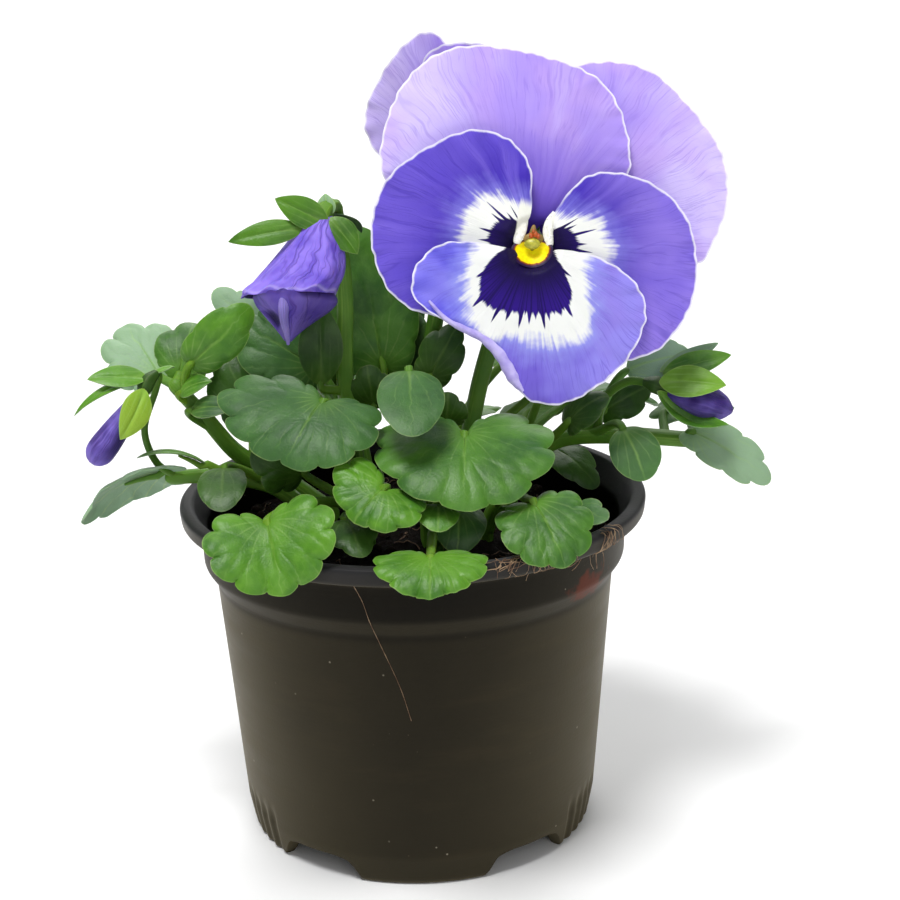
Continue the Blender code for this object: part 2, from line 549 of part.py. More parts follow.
# Shoots: the stem's points and radius, then leaves as
# (share of the stem, base, tip, width, facing, other blade values)
SHOOTS = {
    "shoot_left_low": {
        "stem": [(-17.5, -4, 48), (-17.5, -4, 61.5), (-26, -5, 70.2), (-37, -5, 72.8), (-46, -4, 72.5)],
        "radius": 1.6,
        "leaves": [
            (0.97, (-47, -4.5, 74.2), (-63, -10, 66.2), 15, (0.15, 0.55, 0.8),
             {"lobes": 7, "fold": -0.2}),
            (0.62, (-38.5, -7.5, 76.0), (-51, -12, 79.2), 3.4, UP, {"taper": 1.5, "lobes": 0}),
            (0.55, (-34.6, -15, 77.6), (-34.3, -27, 73), 9, (0, -0.85, 0.5), ROUND),
        ],
    },
    "shoot_left_high": {
        "stem": [(-16.5, 6, 48), (-16.5, 6, 61.5), (-25, 5, 68.5), (-33.5, 2, 75), (-39.2, 0, 83),
                 (-44.6, 0, 89.6)],
        "radius": 1.7,
        "leaves": [
            (0.98, (-48, 3, 91), (-55.5, 13, 99), 17, (0.2, -0.7, 0.7),
             {"lobes": 7, "taper": 0.7, "arch": 0.3}),
            (0.98, (-44, 3, 91), (-41.5, 11, 99.5), 12, (0, -0.8, 0.6), {"lobes": 5, "taper": 0.8}),
            (0.9, (-40.8, -3, 94.5), (-29, -3, 105), 9.5, (0.2, -0.95, 0.2),
             {"taper": 1.5, "lobes": 5, "notch": 0.1}),
            (0.75, (-41.5, -4, 85.6), (-33, -7, 86.5), 5, (0, -0.7, 0.7), {"taper": 1.2, "lobes": 0}),
            (0.9, (-43.5, -2.5, 88.5), (-37, -5, 91.5), 5, FRONT_UP, {"taper": 1.2, "lobes": 0}),
            (0.55, (-31, 7, 81), (-36, 9, 93), 13, (0.1, -0.9, 0.4), {"lobes": 5, "taper": 1.0}),
        ],
    },
    "shoot_nodding": {
        "stem": [(-9.5, 4, 48), (-9.5, 4, 61.5), (-12.2, 2, 87), (-11.6, 2, 105), (-12.2, 2, 117),
                 (-12.6, -1, 122.8)],
        "radius": 1.6,
        "leaves": [
            (0.22, (-15.5, -22, 91.5), (-22.3, -32.2, 83), 31.5, (-0.05, -0.6, 0.8),
             {**KIDNEY, "skew": -0.22, "fold": -0.12}),
            (0.3, (-18.5, 6, 91), (-33, 7, 99.5), 17, (0, -0.85, 0.5), {"lobes": 7}),
            (0.35, (-28, 16, 95), (-38, 18, 104), 9, FRONT, {"lobes": 5}),
            (0.5, (-16.8, -1.5, 89), (-16.4, 1, 105), 8.5, (0.1, -1, 0.1), {"taper": 1.6, "lobes": 0}),
            (0.3, (-7, 3, 83.5), (-8, 1, 92), 9.5, FRONT, {"lobes": 5, "taper": 0.7}),
        ],
    },
    "shoot_bloom": {
        "stem": [(8.5, 3, 48), (8.5, 3, 61.5), (13.6, 2, 88), (19.5, 2.5, 106), (23.2, 3, 116),
                 (23.8, -1.5, 119.4), (23.3, -6.2, 116.0)],
        "radius": 1.5,
        "leaves": [
            (0.25, (25, 3, 86), (33, 4, 94), 12, (0.1, -0.85, 0.5), {"lobes": 5, "taper": 1.0}),
            (0.12, (6.8, -7, 82.5), (7.2, -9.5, 89), 8, FRONT, {"lobes": 5, "taper": 0.7}),
        ],
    },
    "shoot_back_bloom": {
        "stem": [(2, 11, 48), (2, 11, 61.5), (3.5, 10, 86), (6.5, 6.5, 106), (7.8, 2.5, 119),
                 (9.4, 3.2, 123.2), (10.2, 7.0, 122.6)],
        "radius": 1.5,
        "leaves": [
            (0.2, (4, 3, 89), (9.6, 5, 98.5), 9, FRONT, {"lobes": 5, "taper": 0.9}),
            (0.3, (-2.4, 13, 87), (-3, 14, 103), 15, (-0.1, -0.95, 0.3), {"lobes": 5, "taper": 1.0}),
        ],
    },
    "shoot_right": {
        "stem": [(17.5, 4, 48), (17.5, 4, 61.5), (22, 3.5, 70.5), (29, 2.5, 76), (41, 0, 77),
                 (53, -2, 76.4)],
        "radius": 1.7,
        "leaves": [
            (0.6, (41.5, 1, 89.5), (53.5, -1, 92.6), 9, (0, -0.75, 0.65), {**ROUND, "notch": 0.06}),
            (0.64, (39.6, -9.5, 81.2), (43.4, -16, 73), 9.5, (0.1, -0.95, 0.25), ROUND),
            (0.98, (53.5, -4, 78.5), (68, -8, 69.3), 9.5, (0.1, -0.85, 0.55), {"lobes": 7, "taper": 1.2}),
            (0.55, (38, 6, 80.5), (47, 8, 84.5), 8, FRONT, {"lobes": 5, "taper": 0.9}),
            (0.35, (30, -6, 82), (37, -7, 87), 8, FRONT_UP, {"lobes": 5, "taper": 0.7}),
            (0.9, (50, 6, 80), (64, 12, 79), 13, (0.1, 0.1, 0.95), {"lobes": 7, "taper": 0.9}),
        ],
    },
    "shoot_centre": {
        "stem": [(3, -7.5, 48), (3, -7.5, 61.5), (2.5, -11, 74), (1.0, -15, 88)],
        "radius": 1.5,
        "leaves": [
            (0.97, (0, -18.8, 96), (0.3, -35.5, 88.4), 12, (0.05, -0.72, 0.7), {**ROUND, "arch": 0.35}),
            (0.8, (9.6, -25, 85.6), (8.8, -39.5, 76.4), 33, FRONT_UP,
             {**KIDNEY, "taper": 0.1, "gap": 18, "fold": -0.05}),
        ],
    },
    "shoot_centre_low": {
        "stem": [(4, -15.5, 48), (4, -15.5, 61.5), (4, -19, 67)],
        "radius": 1.4,
        "leaves": [
            (0.95, (4.6, -31, 74.6), (4.2, -38.6, 72), 7.5, FRONT_UP, ROUND),
            (0.9, (8.4, -26, 71.6), (7.6, -33, 66), 10, FRONT,
             {"lobes": 5, "notch": 0.05, "taper": 0.65}),
            (0.85, (2.7, -44.5, 69.4), (2.4, -53, 65.8), 20.2, FRONT_UP,
             {**KIDNEY, "taper": 0.1, "gap": 22}),
        ],
    },
    "shoot_front_left": {
        "stem": [(-9, -11.5, 48), (-9, -11.5, 61.5), (-10, -15, 69)],
        "radius": 1.6,
        "leaves": [
            (0.95, (-5, -34.5, 79), (-10.3, -39, 74.6), 18.5, (-0.1, -0.75, 0.65),
             {**KIDNEY, "lobes": 9, "taper": 0.12, "fold": 0.1}),
            (0.8, (-25.5, -36.5, 74), (-22.5, -45, 63.5), 23.6, (0, -0.82, 0.57),
             {**KIDNEY, "taper": 0.28, "fold": 0.3}),
            (0.7, (-12.2, -28, 71), (-9.1, -38, 67.8), 10, FRONT_UP, {"lobes": 5}),
            (0.85, (-20, -15, 76), (-27, -18, 86), 15, (0.1, -0.9, 0.4), {"lobes": 7, "taper": 0.9}),
        ],
    },
    "shoot_front_right": {
        "stem": [(13.5, -9.5, 48), (13.5, -9.5, 61.5), (15.5, -12.5, 68)],
        "radius": 1.5,
        "leaves": [
            (0.95, (21, -33.5, 75.5), (26, -44, 67), 17.2, (0.1, -0.72, 0.68),
             {**KIDNEY, "lobes": 9, "taper": 0.3, "gap": 60}),
            (0.8, (27.1, -21, 68), (34.5, -30.5, 70.6), 8, FRONT_UP, {"lobes": 5, "taper": 1.0}),
        ],
    },
    "shoot_back_left": {
        "stem": [(-8.5, 15, 48), (-8.5, 15, 61.5), (-10, 17, 72)],
        "radius": 1.6,
        "leaves": [
            (0.9, (-5, 8, 90), (-9.5, 9.5, 117), 18, (0.1, -1, 0.1),
             {"taper": 1.3, "lobes": 7, "notch": 0.08, "arch": 0.12}),
            (0.95, (-22, 27, 82), (-38, 37, 80), 23, BACK_UP, {}),
            (0.8, (-8, 32, 84), (-12, 49, 79), 21, BACK_UP, {}),
            (0.9, (-17, 21, 84), (-21, 23, 103), 17, (-0.1, -0.97, 0.2), {"lobes": 5, "taper": 1.1}),
        ],
    },
    "shoot_back": {
        "stem": [(8.5, 20.5, 48), (8.5, 20.5, 61.5), (9, 24, 70)],
        "radius": 1.6,
        "leaves": [
            (0.95, (8, 34, 73.5), (10, 51, 68.6), 22, BACK_UP, {"arch": 0.2}),
            (0.9, (22, 33, 86), (31, 46, 82), 20, BACK_UP, {}),
            (0.8, (-1, 26, 90), (-4, 30, 104), 12, (0, -0.95, 0.3), {"lobes": 5, "taper": 1.0}),
        ],
    },
    "shoot_back_right": {
        "stem": [(19.5, 13, 48), (19.5, 13, 61.5), (22, 14, 70)],
        "radius": 1.5,
        "leaves": [
            (0.8, (28, 10, 72.1), (36, 2, 65.8), 9, (0.2, -0.6, 0.75), {"lobes": 5}),
            (0.95, (35, 22, 79), (51, 28, 76), 20, (0.2, 0.1, 0.95), {}),
            (0.85, (31, 13, 90), (42, 15, 98), 14, (0, -0.6, 0.8), {"lobes": 7, "taper": 0.9}),
            (0.9, (24, 22, 76), (36, 38, 73), 18, BACK_UP, {"lobes": 7}),
        ],
    },
}

# Outlines of the open bloom's petals, seen from the front, in millimetres from the throat.
# Each starts at its claw, where the petal stands against the calyx.
UPPER_LEFT = [
    (-1.15, 1.7), (0.2, 2.5), (3.5, 4.6), (12, 7), (17, 12.6), (16.3, 21), (13, 27.5), (7.3, 31.3),
    (-2.5, 34.2), (-11.3, 35.1), (-18.3, 33.1), (-24, 27.3), (-27.2, 18), (-26.3, 11.5), (-20, 6),
    (-10, 4.4), (-3.4, 4.0), (-2.1, 2.5),
]
UPPER_RIGHT = [
    (1.9, 1.65), (1.2, 2.6), (1.6, 5.2), (2.5, 12), (3, 22), (5.5, 30), (11.9, 32.2), (19.5, 31),
    (25.4, 26.8),
    (33.2, 17), (34.9, 8), (32.8, 0.9), (28.9, -4), (18, -2), (8, 0.8), (4.2, 1.2), (2.7, 1.1),
]
SIDE_LEFT = [
    (-1.75, 0.0), (-2.1, 0.9), (-3.2, 2.2), (-0.6, 4.8), (-0.2, 9.2), (-0.6, 14), (-4.3, 18.5),
    (-10.5, 20.2), (-17.5, 17.9),
    (-24.7, 13.2), (-28.2, 7.2), (-28.9, 0.2), (-26.3, -7.3), (-21, -11.6), (-14, -12), (-7, -6),
    (-3.9, -1.9), (-2.1, -0.8),
]
SIDE_RIGHT = [
    (1.75, 0.0), (2.1, -0.8), (3.9, -1.9), (6, -5), (9, -13), (14, -20), (19, -20.3), (23.6, -17.9),
    (27.9, -11.5), (29.1, -4.6),
    (27.6, 3.4), (23.2, 9.0), (16.5, 12.1), (10.3, 12.2), (6.4, 9.2), (3.8, 5.4), (3.3, 2.2), (2.1, 0.9),
]
LIP = [
    (0.0, -1.6), (-1.1, -1.7), (-2.6, -3.2), (-4.2, -0.6), (-11.7, 0.7), (-17, 0), (-20.8, -3.6),
    (-21.5, -8), (-19.2, -11),
    (-13, -14.6), (-6, -18.8), (-3.6, -24), (-0.7, -27.6), (5, -28.4), (10.8, -25.7), (16.8, -20.4),
    (20, -13),
    (18.2, -7), (12, -2.5), (5, -0.9), (2.6, -3.2), (1.1, -1.7),
]

# Outlines of the bloom that is turned away, as it would be seen from its own front
BACK_UPPER_RIGHT = [
    (1.15, 1.7), (0.6, 2.6), (1.2, 5.2), (0.5, 14), (1.5, 24), (6, 30.3), (11, 29.4), (17.1, 23.3),
    (21.1, 15.5),
    (19.6, 8.5), (12, 4), (4.6, 1.9), (2.3, 1.3),
]
BACK_UPPER_LEFT = [
    (-1.9, 1.65), (-4.6, 2.6), (-12, 5), (-20, 11), (-19, 19), (-13, 25), (-4, 28.5), (4, 28.4),
    (8.2, 25.2),
    (8.6, 18), (5, 8), (1.6, 4.8), (-0.7, 2.7),
]
BACK_SIDE_LEFT = [
    (-1.75, 0.0), (-2.1, 0.9), (-3.4, 2.2), (-7, 6.5), (-12, 8), (-16.5, 4.5), (-17.4, -2.5),
    (-15.5, -9.5), (-10, -11.5),
    (-5.5, -6.5), (-3.9, -1.9), (-2.1, -0.8),
]
BACK_SIDE_RIGHT = [(-x, y) for x, y in BACK_SIDE_LEFT[:1] + BACK_SIDE_LEFT[:0:-1]]
BACK_LIP = [
    (0.0, -1.6), (-1.1, -1.7), (-2.6, -3.2), (-6, -3.2), (-13, -5), (-16, -11), (-12, -19),
    (-4, -23.5), (4, -23.5), (12, -19),
    (16, -11), (13, -5), (6, -3.2), (2.6, -3.2), (1.1, -1.7),
]


# Calyxes of the three buds, and the flower stalks of the two lower ones
NODDING_CUP = [(-12.4, 0, 122), (-13.2, -3, 123.6), (-15.0, -5.2, 122.2), (-15.6, -5.9, 121.0)]
NODDING_CUP_RADII = [1.4, 1.7, 2.7, 2.5]
LOW_CUP = [(-46.9, -6.6, 93.7), (-48.4, -8.2, 92.6), (-49.0, -8.8, 91.5)]
RIGHT_CUP = [(44.0, -6.6, 89.2), (45.8, -7.8, 88.9), (47.0, -8.3, 88.4)]
SMALL_CUP_RADII = [1.1, 2.2, 1.9]
LOW_BUD_STALK = [
    (-44.6, -4.1, 72.6), (-48.4, -6, 76.2), (-50, -7, 83), (-47.6, -5, 90),
    (-46.6, -6, 93.2), (-48, -7.7, 93.2),
]
RIGHT_BUD_STALK = [(36, 1.2, 77), (37, 0, 84), (41, -3.5, 88.5), (45, -7.2, 89.2)]

# Buds as (share of the length, radius)
NODDING_BUD = [
    (0.09, 2.2), (0.16, 3.6), (0.35, 6.6), (0.52, 8.6), (0.64, 9.4),
    (0.67, 7.6), (0.8, 5.4), (0.93, 3.0), (1.0, 1.0),
]
CLOSED_BUD = [(0.05, 1.4), (0.2, 2.4), (0.5, 3.2), (0.8, 2.8), (0.94, 1.7), (1.0, 0.7)]


def stem_path(points):
    """A stem that is straight up to its second point, in the soil, and curved from there."""
    return np.vstack([points[:1], smooth_path(points[1:], STEM_STEPS)])


def bud(base, tip, profile, pleats, depth, turn, sides=10, slant=0.0):
    """A rolled bud: rings along an axis, with folds that wind round it. slant lengthens its -X side."""
    base, tip = np.asarray(base, float), np.asarray(tip, float)
    axes = frame_of(tip - base, (0, -1, 0.2))
    length = np.linalg.norm(tip - base)
    verts, faces = [], []
    for share, radius in profile:
        for k in range(sides):
            angle = 2 * math.pi * k / sides
            r = radius * (1 + depth * math.cos(pleats * angle + turn * share))
            away = math.cos(angle) * axes[1] + math.sin(angle) * axes[2]
            on = share * length + slant * r * (away[0] < 0) * -away[0] * share
            verts.append(base + axes[0] * on + r * away)
    for i in range(len(profile) - 1):
        for k in range(sides):
            a, b = i * sides + k, i * sides + (k + 1) % sides
            faces += [(a, b, b + sides), (a, b + sides, a + sides)]
    faces.append(tuple(range(sides - 1, -1, -1)))
    last = (len(profile) - 1) * sides
    faces.append(tuple(range(last, last + sides)))
    return np.array(verts), faces


def flower_extras():
    """Flower stalks, calyxes and sepals that belong to the shoots."""
    low_bud = smooth_path(LOW_BUD_STALK, STEM_STEPS)
    right_bud = smooth_path(RIGHT_BUD_STALK, STEM_STEPS)
    return {
        "shoot_bloom": calyx(BLOOM_AT, BLOOM_FACING, BLOOM_UP),
        "shoot_back_bloom": calyx(BACK_BLOOM_AT, BACK_BLOOM_FACING, BACK_BLOOM_UP),
        "shoot_nodding": [
            tube(NODDING_CUP, NODDING_CUP_RADII, 8),
            sepal((-16, -5.6, 121.6), (-31.8, -10, 118.6), 5, (-0.1, -0.9, 0.4)),
            sepal((-15, -4.2, 122.2), (-23.1, -5.5, 125.4), 5, (0, -0.9, 0.4)),
            sepal((-14, -5, 121.6), (-8.6, -8.6, 114.6), 5, (0.4, -0.8, 0.4)),
            sepal((-14, -3.4, 122.4), (-14, -1, 126), 3.5, (0, -1, 0.1)),
            sepal((-13.6, -3.6, 122), (-8, 4.5, 117), 4.5, (0.3, 0.3, 0.9)),
        ],
        "shoot_left_low": [
            tube(low_bud, np.linspace(1.0, 0.8, len(low_bud)), STALK_SIDES),
            tube(LOW_CUP, SMALL_CUP_RADII, 7),
            sepal((-48.4, -8.6, 93.4), (-59.2, -10.5, 94), 4.6, (0, -0.5, 0.87), 0.2),
            sepal((-49.4, -8.2, 92.8), (-62, -12, 87.6), 2.6, (-0.3, -0.4, 0.87), 0.5),
            sepal((-48.3, -9.3, 92.3), (-53.2, -15.5, 83.6), 6, (0.5, -0.8, 0.25), 0.45),
            sepal((-47.4, -6.6, 93.6), (-43.7, -5, 94.6), 3, UP, 0.2),
        ],
        "shoot_right": [
            tube(right_bud, np.linspace(1.1, 0.9, len(right_bud)), STALK_SIDES),
            tube(RIGHT_CUP, SMALL_CUP_RADII, 7),
            sepal((45.6, -9.4, 89.6), (58.4, -13.6, 90.2), 5, (-0.2, -0.75, 0.6), 0.2),
            sepal((46.6, -5.6, 90), (59.2, -5, 95.4), 6.5, (-0.1, -0.8, 0.6), 0.3),
            sepal((45.8, -11.0, 87.2), (57.0, -18, 82.0), 5.5, (-0.2, -0.8, 0.5), 0.2),
        ],
    }


def make_shoots(look):
    extras = flower_extras()
    for name, row in SHOOTS.items():
        path = stem_path(row["stem"])
        parts = [tube(path, np.linspace(row["radius"] + 0.3, row["radius"] - 0.2, len(path)), STEM_SIDES)]
        for share, base, tip, width, facing, more in row["leaves"]:
            start, heading = at_share(path, share)
            taper, arch = more.get("taper", 0.75), more.get("arch", 0.5)
            parts.append(leaf_stalk(start, heading, base, tip, facing, taper, arch))
            parts.append(leaf(base, tip, width, facing, **more))
        parts += extras.get(name, [])
        add_node(name, parts, look)


def make_open_bloom(pale, deep, yellow):
    bloom = (BLOOM_AT, BLOOM_FACING, BLOOM_UP)
    spur = tube(place_in_bloom(bloom, SPUR), SPUR_RADII, 6)
    add_node("bloom_petal_upper_left", petal(bloom, UPPER_LEFT, -2.1, 1.8), pale)
    add_node("bloom_petal_upper_right", petal(bloom, UPPER_RIGHT, -4.0, 0.9), pale)
    add_node("bloom_petal_side_left", petal(bloom, SIDE_LEFT, 0.0, 3.0, curls=[(150, 35, 1.2)]), deep)
    add_node("bloom_petal_side_right", petal(bloom, SIDE_RIGHT, 0.0, 3.0, curls=[(10, 35, 1.0)]), deep)
    lip = petal(bloom, LIP, 1.9, 4.4, curls=[(212, 24, 2.2)], around=34, extra=[spur])
    add_node("bloom_petal_lip", lip, deep)
    head = tube(place_in_bloom(bloom, PISTIL), PISTIL_RADII, 7)
    add_node("bloom_pistil", [head], yellow)


def make_back_bloom(pale, deep, yellow):
    bloom = (BACK_BLOOM_AT, BACK_BLOOM_FACING, BACK_BLOOM_UP)
    spur = tube(place_in_bloom(bloom, SPUR), SPUR_RADII, 6)
    add_node("back_bloom_petal_upper_right", petal(bloom, BACK_UPPER_RIGHT, -2.1, 1.8, around=24), pale)
    add_node("back_bloom_petal_upper_left", petal(bloom, BACK_UPPER_LEFT, -4.0, 0.9, around=24), pale)
    add_node("back_bloom_petal_side_left", petal(bloom, BACK_SIDE_LEFT, 0.0, 3.0, around=24), deep)
    add_node("back_bloom_petal_side_right", petal(bloom, BACK_SIDE_RIGHT, 0.0, 3.0, around=24), deep)
    add_node("back_bloom_petal_lip", petal(bloom, BACK_LIP, 1.9, 4.4, around=28, extra=[spur]), deep)
    head = tube(place_in_bloom(bloom, PISTIL), PISTIL_RADII, 7)
    add_node("back_bloom_pistil", [head], yellow)


def make_buds(deep):
    nodding = bud((-16.0, -6.4, 119.9), (-21.7, -14, 100.6), NODDING_BUD, 5, 0.08, 1.5, sides=20, slant=0.35)
    left = bud((-49.4, -9.1, 91.0), (-59.1, -14, 78.7), CLOSED_BUD, 3, 0.06, 2.5)
    right = bud((47.6, -8.6, 88.1), (59.7, -12, 84.6), CLOSED_BUD, 3, 0.06, 2.5)
    add_node("nodding_bud_petals", [nodding], deep)
    add_node("left_bud_petals", [left], deep)
    add_node("right_bud_petals", [right], deep)


def main():
    for old in list(bpy.data.objects):
        bpy.data.objects.remove(old)
    plastic = material("pot_plastic", (0.02, 0.018, 0.015), 0.4)
    earth = material("soil", (0.03, 0.018, 0.012), 0.95)
    green = material("leaf_green", (0.09, 0.2, 0.06), 0.5)
    pale = material("petal_lavender", (0.42, 0.33, 0.75), 0.55)
    deep = material("petal_blue_violet", (0.16, 0.1, 0.55), 0.55)
    yellow = material("throat_yellow", (0.8, 0.6, 0.03), 0.5)
    make_pot(plastic)
    make_soil([(row["stem"][0], row["stem"][1], row["radius"]) for row in SHOOTS.values()], earth)
    make_shoots(green)
    make_open_bloom(pale, deep, yellow)
    make_back_bloom(pale, deep, yellow)
    make_buds(deep)


main()
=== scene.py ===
"""Potted marina horned violet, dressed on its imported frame.

Sizes are in millimetres from the pot's own axis, which stands at POT_AT in the frame.
The viewer of the open bloom stands on the -Y side. The tables repeat the part's own values, apart
from the claw of the lip, the start of the spur, the relief of the small leaves, and the finer rows of
the buds and their sepals.
"""

import json
import math

import bmesh
import bpy
import numpy as np
from mathutils import Matrix, Vector, noise

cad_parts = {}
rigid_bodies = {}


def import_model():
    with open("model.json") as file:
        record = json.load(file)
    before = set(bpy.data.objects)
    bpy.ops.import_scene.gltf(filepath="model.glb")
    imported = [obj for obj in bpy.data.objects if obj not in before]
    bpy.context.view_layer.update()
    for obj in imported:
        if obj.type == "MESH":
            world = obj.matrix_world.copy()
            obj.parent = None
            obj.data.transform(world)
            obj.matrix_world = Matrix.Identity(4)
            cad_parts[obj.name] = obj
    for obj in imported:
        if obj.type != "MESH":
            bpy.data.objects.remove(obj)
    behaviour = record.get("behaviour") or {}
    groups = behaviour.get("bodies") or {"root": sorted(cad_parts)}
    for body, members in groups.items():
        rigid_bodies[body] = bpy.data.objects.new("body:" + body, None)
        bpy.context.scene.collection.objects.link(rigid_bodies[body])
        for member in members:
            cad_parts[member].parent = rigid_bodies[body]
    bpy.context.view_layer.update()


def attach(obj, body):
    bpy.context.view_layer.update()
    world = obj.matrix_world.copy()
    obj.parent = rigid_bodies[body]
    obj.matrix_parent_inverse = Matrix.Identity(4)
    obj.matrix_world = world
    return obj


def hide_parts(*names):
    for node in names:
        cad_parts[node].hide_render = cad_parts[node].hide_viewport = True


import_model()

MM = 0.001
POT_AT = (-2.8, 1.0, 0.0)

# Pot
RIM_RADIUS = 45.0
RIM_HEIGHT = 67.3
FLANGE_WIDTH = 2.6
LIP_DEPTH = 3.2
COLLAR_RADIUS = 40.9
COLLAR_BOTTOM = 55.8
WALL_TOP_RADIUS = 38.7
WALL_TOP = 52.5
WALL_FOOT_RADIUS = 35.2
WALL_FOOT = 6.0
BASE_RADIUS = 33.6
WALL = 1.1
FLOOR_UNDER = 3.2
FLOOR_TOP = 4.6
FOOT_INNER_RADIUS = 31.4
FEET = 5
NOTCH_HALF_ANGLE = 16.5
NOTCH_RISE = 5.0
NOTCH_INNER_RADIUS = 30.4
FRONT_TURN = -90
FOOT_PITCH = 360 / FEET
POT_SHARP = 40
FLUTE_STEP = 5.6
FLUTE_DEPTH = 0.5
FLUTE_TOP = 9.5

# Soil
SEAT_GAP = 0.3
SOIL_TOP = 59.0
SOIL_BUMP = 0.9
SOIL_RINGS = 96
SOIL_SIDES = 220
CRUMBS = 420
FIBRES = 110

# Plant
BLADE = 0.34
PETAL_BLADE = 0.3
LEAF_TAPER = 0.75
LEAF_ARCH = 0.5
WIDE_LEAF = 14.0
STEM_FOOT = 48.0
STEM_LEAVES_SOIL = 61.5

# Blooms: each is its throat's place, the way that it looks and its upper side
BLOOM = ((22.7, -15.0, 117.1), (-0.07, -0.981, 0.178), (0.03, 0.33, 0.94))
BACK_BLOOM = ((14.0, 15.0, 121.6), (0.38, 0.925, 0.0), (0.0, 0.0, 1.0))
CLAW_RING = 5.2
BOW = 0.0022
RUFFLE = 0.35
LIP_HEIGHTS = (1.9, 4.4)
LIP_CURL = (212, 24, 2.2)
CALYX = [(0, 0, -8.8, 1.5), (0, 0, -7.6, 2.6), (0, 0, -6.2, 2.6), (0, 0, -2.0, 0.9)]
SEPAL_ROOT = (1.2, -7.0)
SEPAL_TIP = (12.5, -9.75)
SEPAL_WIDTH = 3.8
SPUR = [(0, -2.8, -2.2), (0, -4.0, -4.4), (0, -4.2, -8), (0, -4.0, -11)]
SPUR_RADII = [0.9, 1.05, 1.1, 0.8]
SEPAL_ANGLES = [18, 90, 162, 222, 318]
EYE_HALF_WIDTH = 3.2
EYE_BELOW = 2.85
EYE_ABOVE = 1.5
EYE_FRINGE = 1.16
EYE_OVER_CURL = math.radians(218)
EYE_HOLE = 0.12
EYE_THICK = 0.3
EYE_RINGS = 18
EYE_SIDES = 96
FLAT_SPAN = 80.0
TUBE_SPAN = 20.0

UP = (0, 0, 1)
FRONT_UP = (0, -0.6, 0.8)
FRONT = (0, -0.9, 0.42)
BACK_UP = (0, 0.35, 0.94)

# Leaf tones: how yellow, how waxy and how light. For some tones the lightness carries painted shade and
# painted light, as marked
BRIGHT = (0.95, 0.05, 1.0)
FRESH = (0.62, 0.15, 0.95)
WAXY = (0.3, 0.5, 0.86)
PALE = (0.25, 0.95, 1.12)
# Deep green, darkened as painted shade for the leaves deep in the foliage
DEEP_IN_SHADE = (0.6, 0.05, 0.5)
OLIVE = (0.9, 0.0, 0.75)
LIGHT = (1.0, 0.1, 1.3)
# Pale and waxy, lightened as painted light for a leaf that lies in the bloom's shadow
PAINTED_LIT = (0.0, 1.0, 1.45)
SUNNY = (1.0, 0.05, 1.18)
GREEN = (0.95, 0.0, 0.8)


def srgb(red, green, blue):
    """A colour named in the usual 0 to 255 steps, as the shader's linear values."""
    steps = np.array([red, green, blue]) / 255
    linear = np.where(steps <= 0.04045, steps / 12.92, ((steps + 0.055) / 1.055) ** 2.4)
    return (*linear.tolist(), 1.0)


def unit(v):
    v = np.asarray(v, float)
    return v / np.linalg.norm(v)


def frame_of(along, facing):
    """Right-handed axes: along, across and out, with out as near to facing as it can be."""
    ex = unit(along)
    facing = np.asarray(facing, float)
    ez = unit(facing - ex * (facing @ ex))
    return np.array([ex, np.cross(ez, ex), ez])


def smooth_path(points, steps):
    """Catmull-Rom curve through the points, with steps pieces between each pair."""
    p = np.asarray(points, float)
    p = np.vstack([2 * p[0] - p[1], p, 2 * p[-1] - p[-2]])
    out = []
    for i in range(1, len(p) - 2):
        for t in np.arange(steps) / steps:
            out.append(
                0.5 * (
                    2 * p[i]
                    + (p[i + 1] - p[i - 1]) * t
                    + (2 * p[i - 1] - 5 * p[i] + 4 * p[i + 1] - p[i + 2]) * t * t
                    + (3 * p[i] - p[i - 1] - 3 * p[i + 1] + p[i + 2]) * t ** 3
                )
            )
    out.append(p[-2])
    return np.array(out)


def ways(path):
    """The distance along a path to each of its points."""
    return np.concatenate([[0], np.cumsum(np.linalg.norm(np.diff(path, axis=0), axis=1))])


def points_at(path, share):
    """Points of a path at shares of its length."""
    way = ways(path)
    return np.column_stack([np.interp(share, way / way[-1], column) for column in path.T])


def at_share(path, share):
    """The point at a share of a path's length, and the path's direction there."""
    way = ways(path) / ways(path)[-1]
    i = min(np.searchsorted(way, share, side="right"), len(path) - 1)
    return points_at(path, [share])[0], unit(path[i] - path[i - 1])


def spread(values, count):
    """Values spread evenly over count points."""
    return np.interp(np.linspace(0, len(values) - 1, count), range(len(values)), values)


def whole_turn(count):
    """Angles spread evenly over a whole turn."""
    return 2 * math.pi * np.arange(count) / count


def off_angle(angle, toward, period=360):
    """How far an angle in degrees is from another, as half a period at most to either side."""
    return (angle - toward + period / 2) % period - period / 2


def columns(*values):
    """Values side by side, where a single number fills its column."""
    return np.column_stack(np.broadcast_arrays(*values))


def smooth(value, low, high):
    t = np.clip((np.asarray(value, float) - low) / (high - low), 0, 1)
    return t * t * (3 - 2 * t)


def rough(points, scale, octaves=3):
    """Fractal noise of about -1 to 1 at each point, for points in millimetres."""
    points = np.asarray(points, float) * scale
    return np.array([noise.fractal(Vector(p), 1.0, 2.0, octaves) for p in points.tolist()])


class Shape:
    """Points with faces, flat coordinates (uv) and four painted values (tone) for each point."""

    def __init__(self, verts, quads=(), tris=(), uv=None, tone=None):
        self.verts = np.asarray(verts, float)
        self.quads = np.asarray(quads, int).reshape(-1, 4)
        self.tris = np.asarray(tris, int).reshape(-1, 3)
        n = len(self.verts)
        self.uv = np.zeros((n, 2)) if uv is None else np.asarray(uv, float)
        self.tone = np.zeros((n, 4)) if tone is None else np.broadcast_to(np.asarray(tone, float), (n, 4))


def joined(shapes):
    offsets = np.cumsum([0] + [len(s.verts) for s in shapes])
    return Shape(
        np.vstack([s.verts for s in shapes]),
        np.vstack([s.quads + o for s, o in zip(shapes, offsets)]),
        np.vstack([s.tris + o for s, o in zip(shapes, offsets)]),
        np.vstack([s.uv for s in shapes]),
        np.vstack([s.tone for s in shapes]),
    )


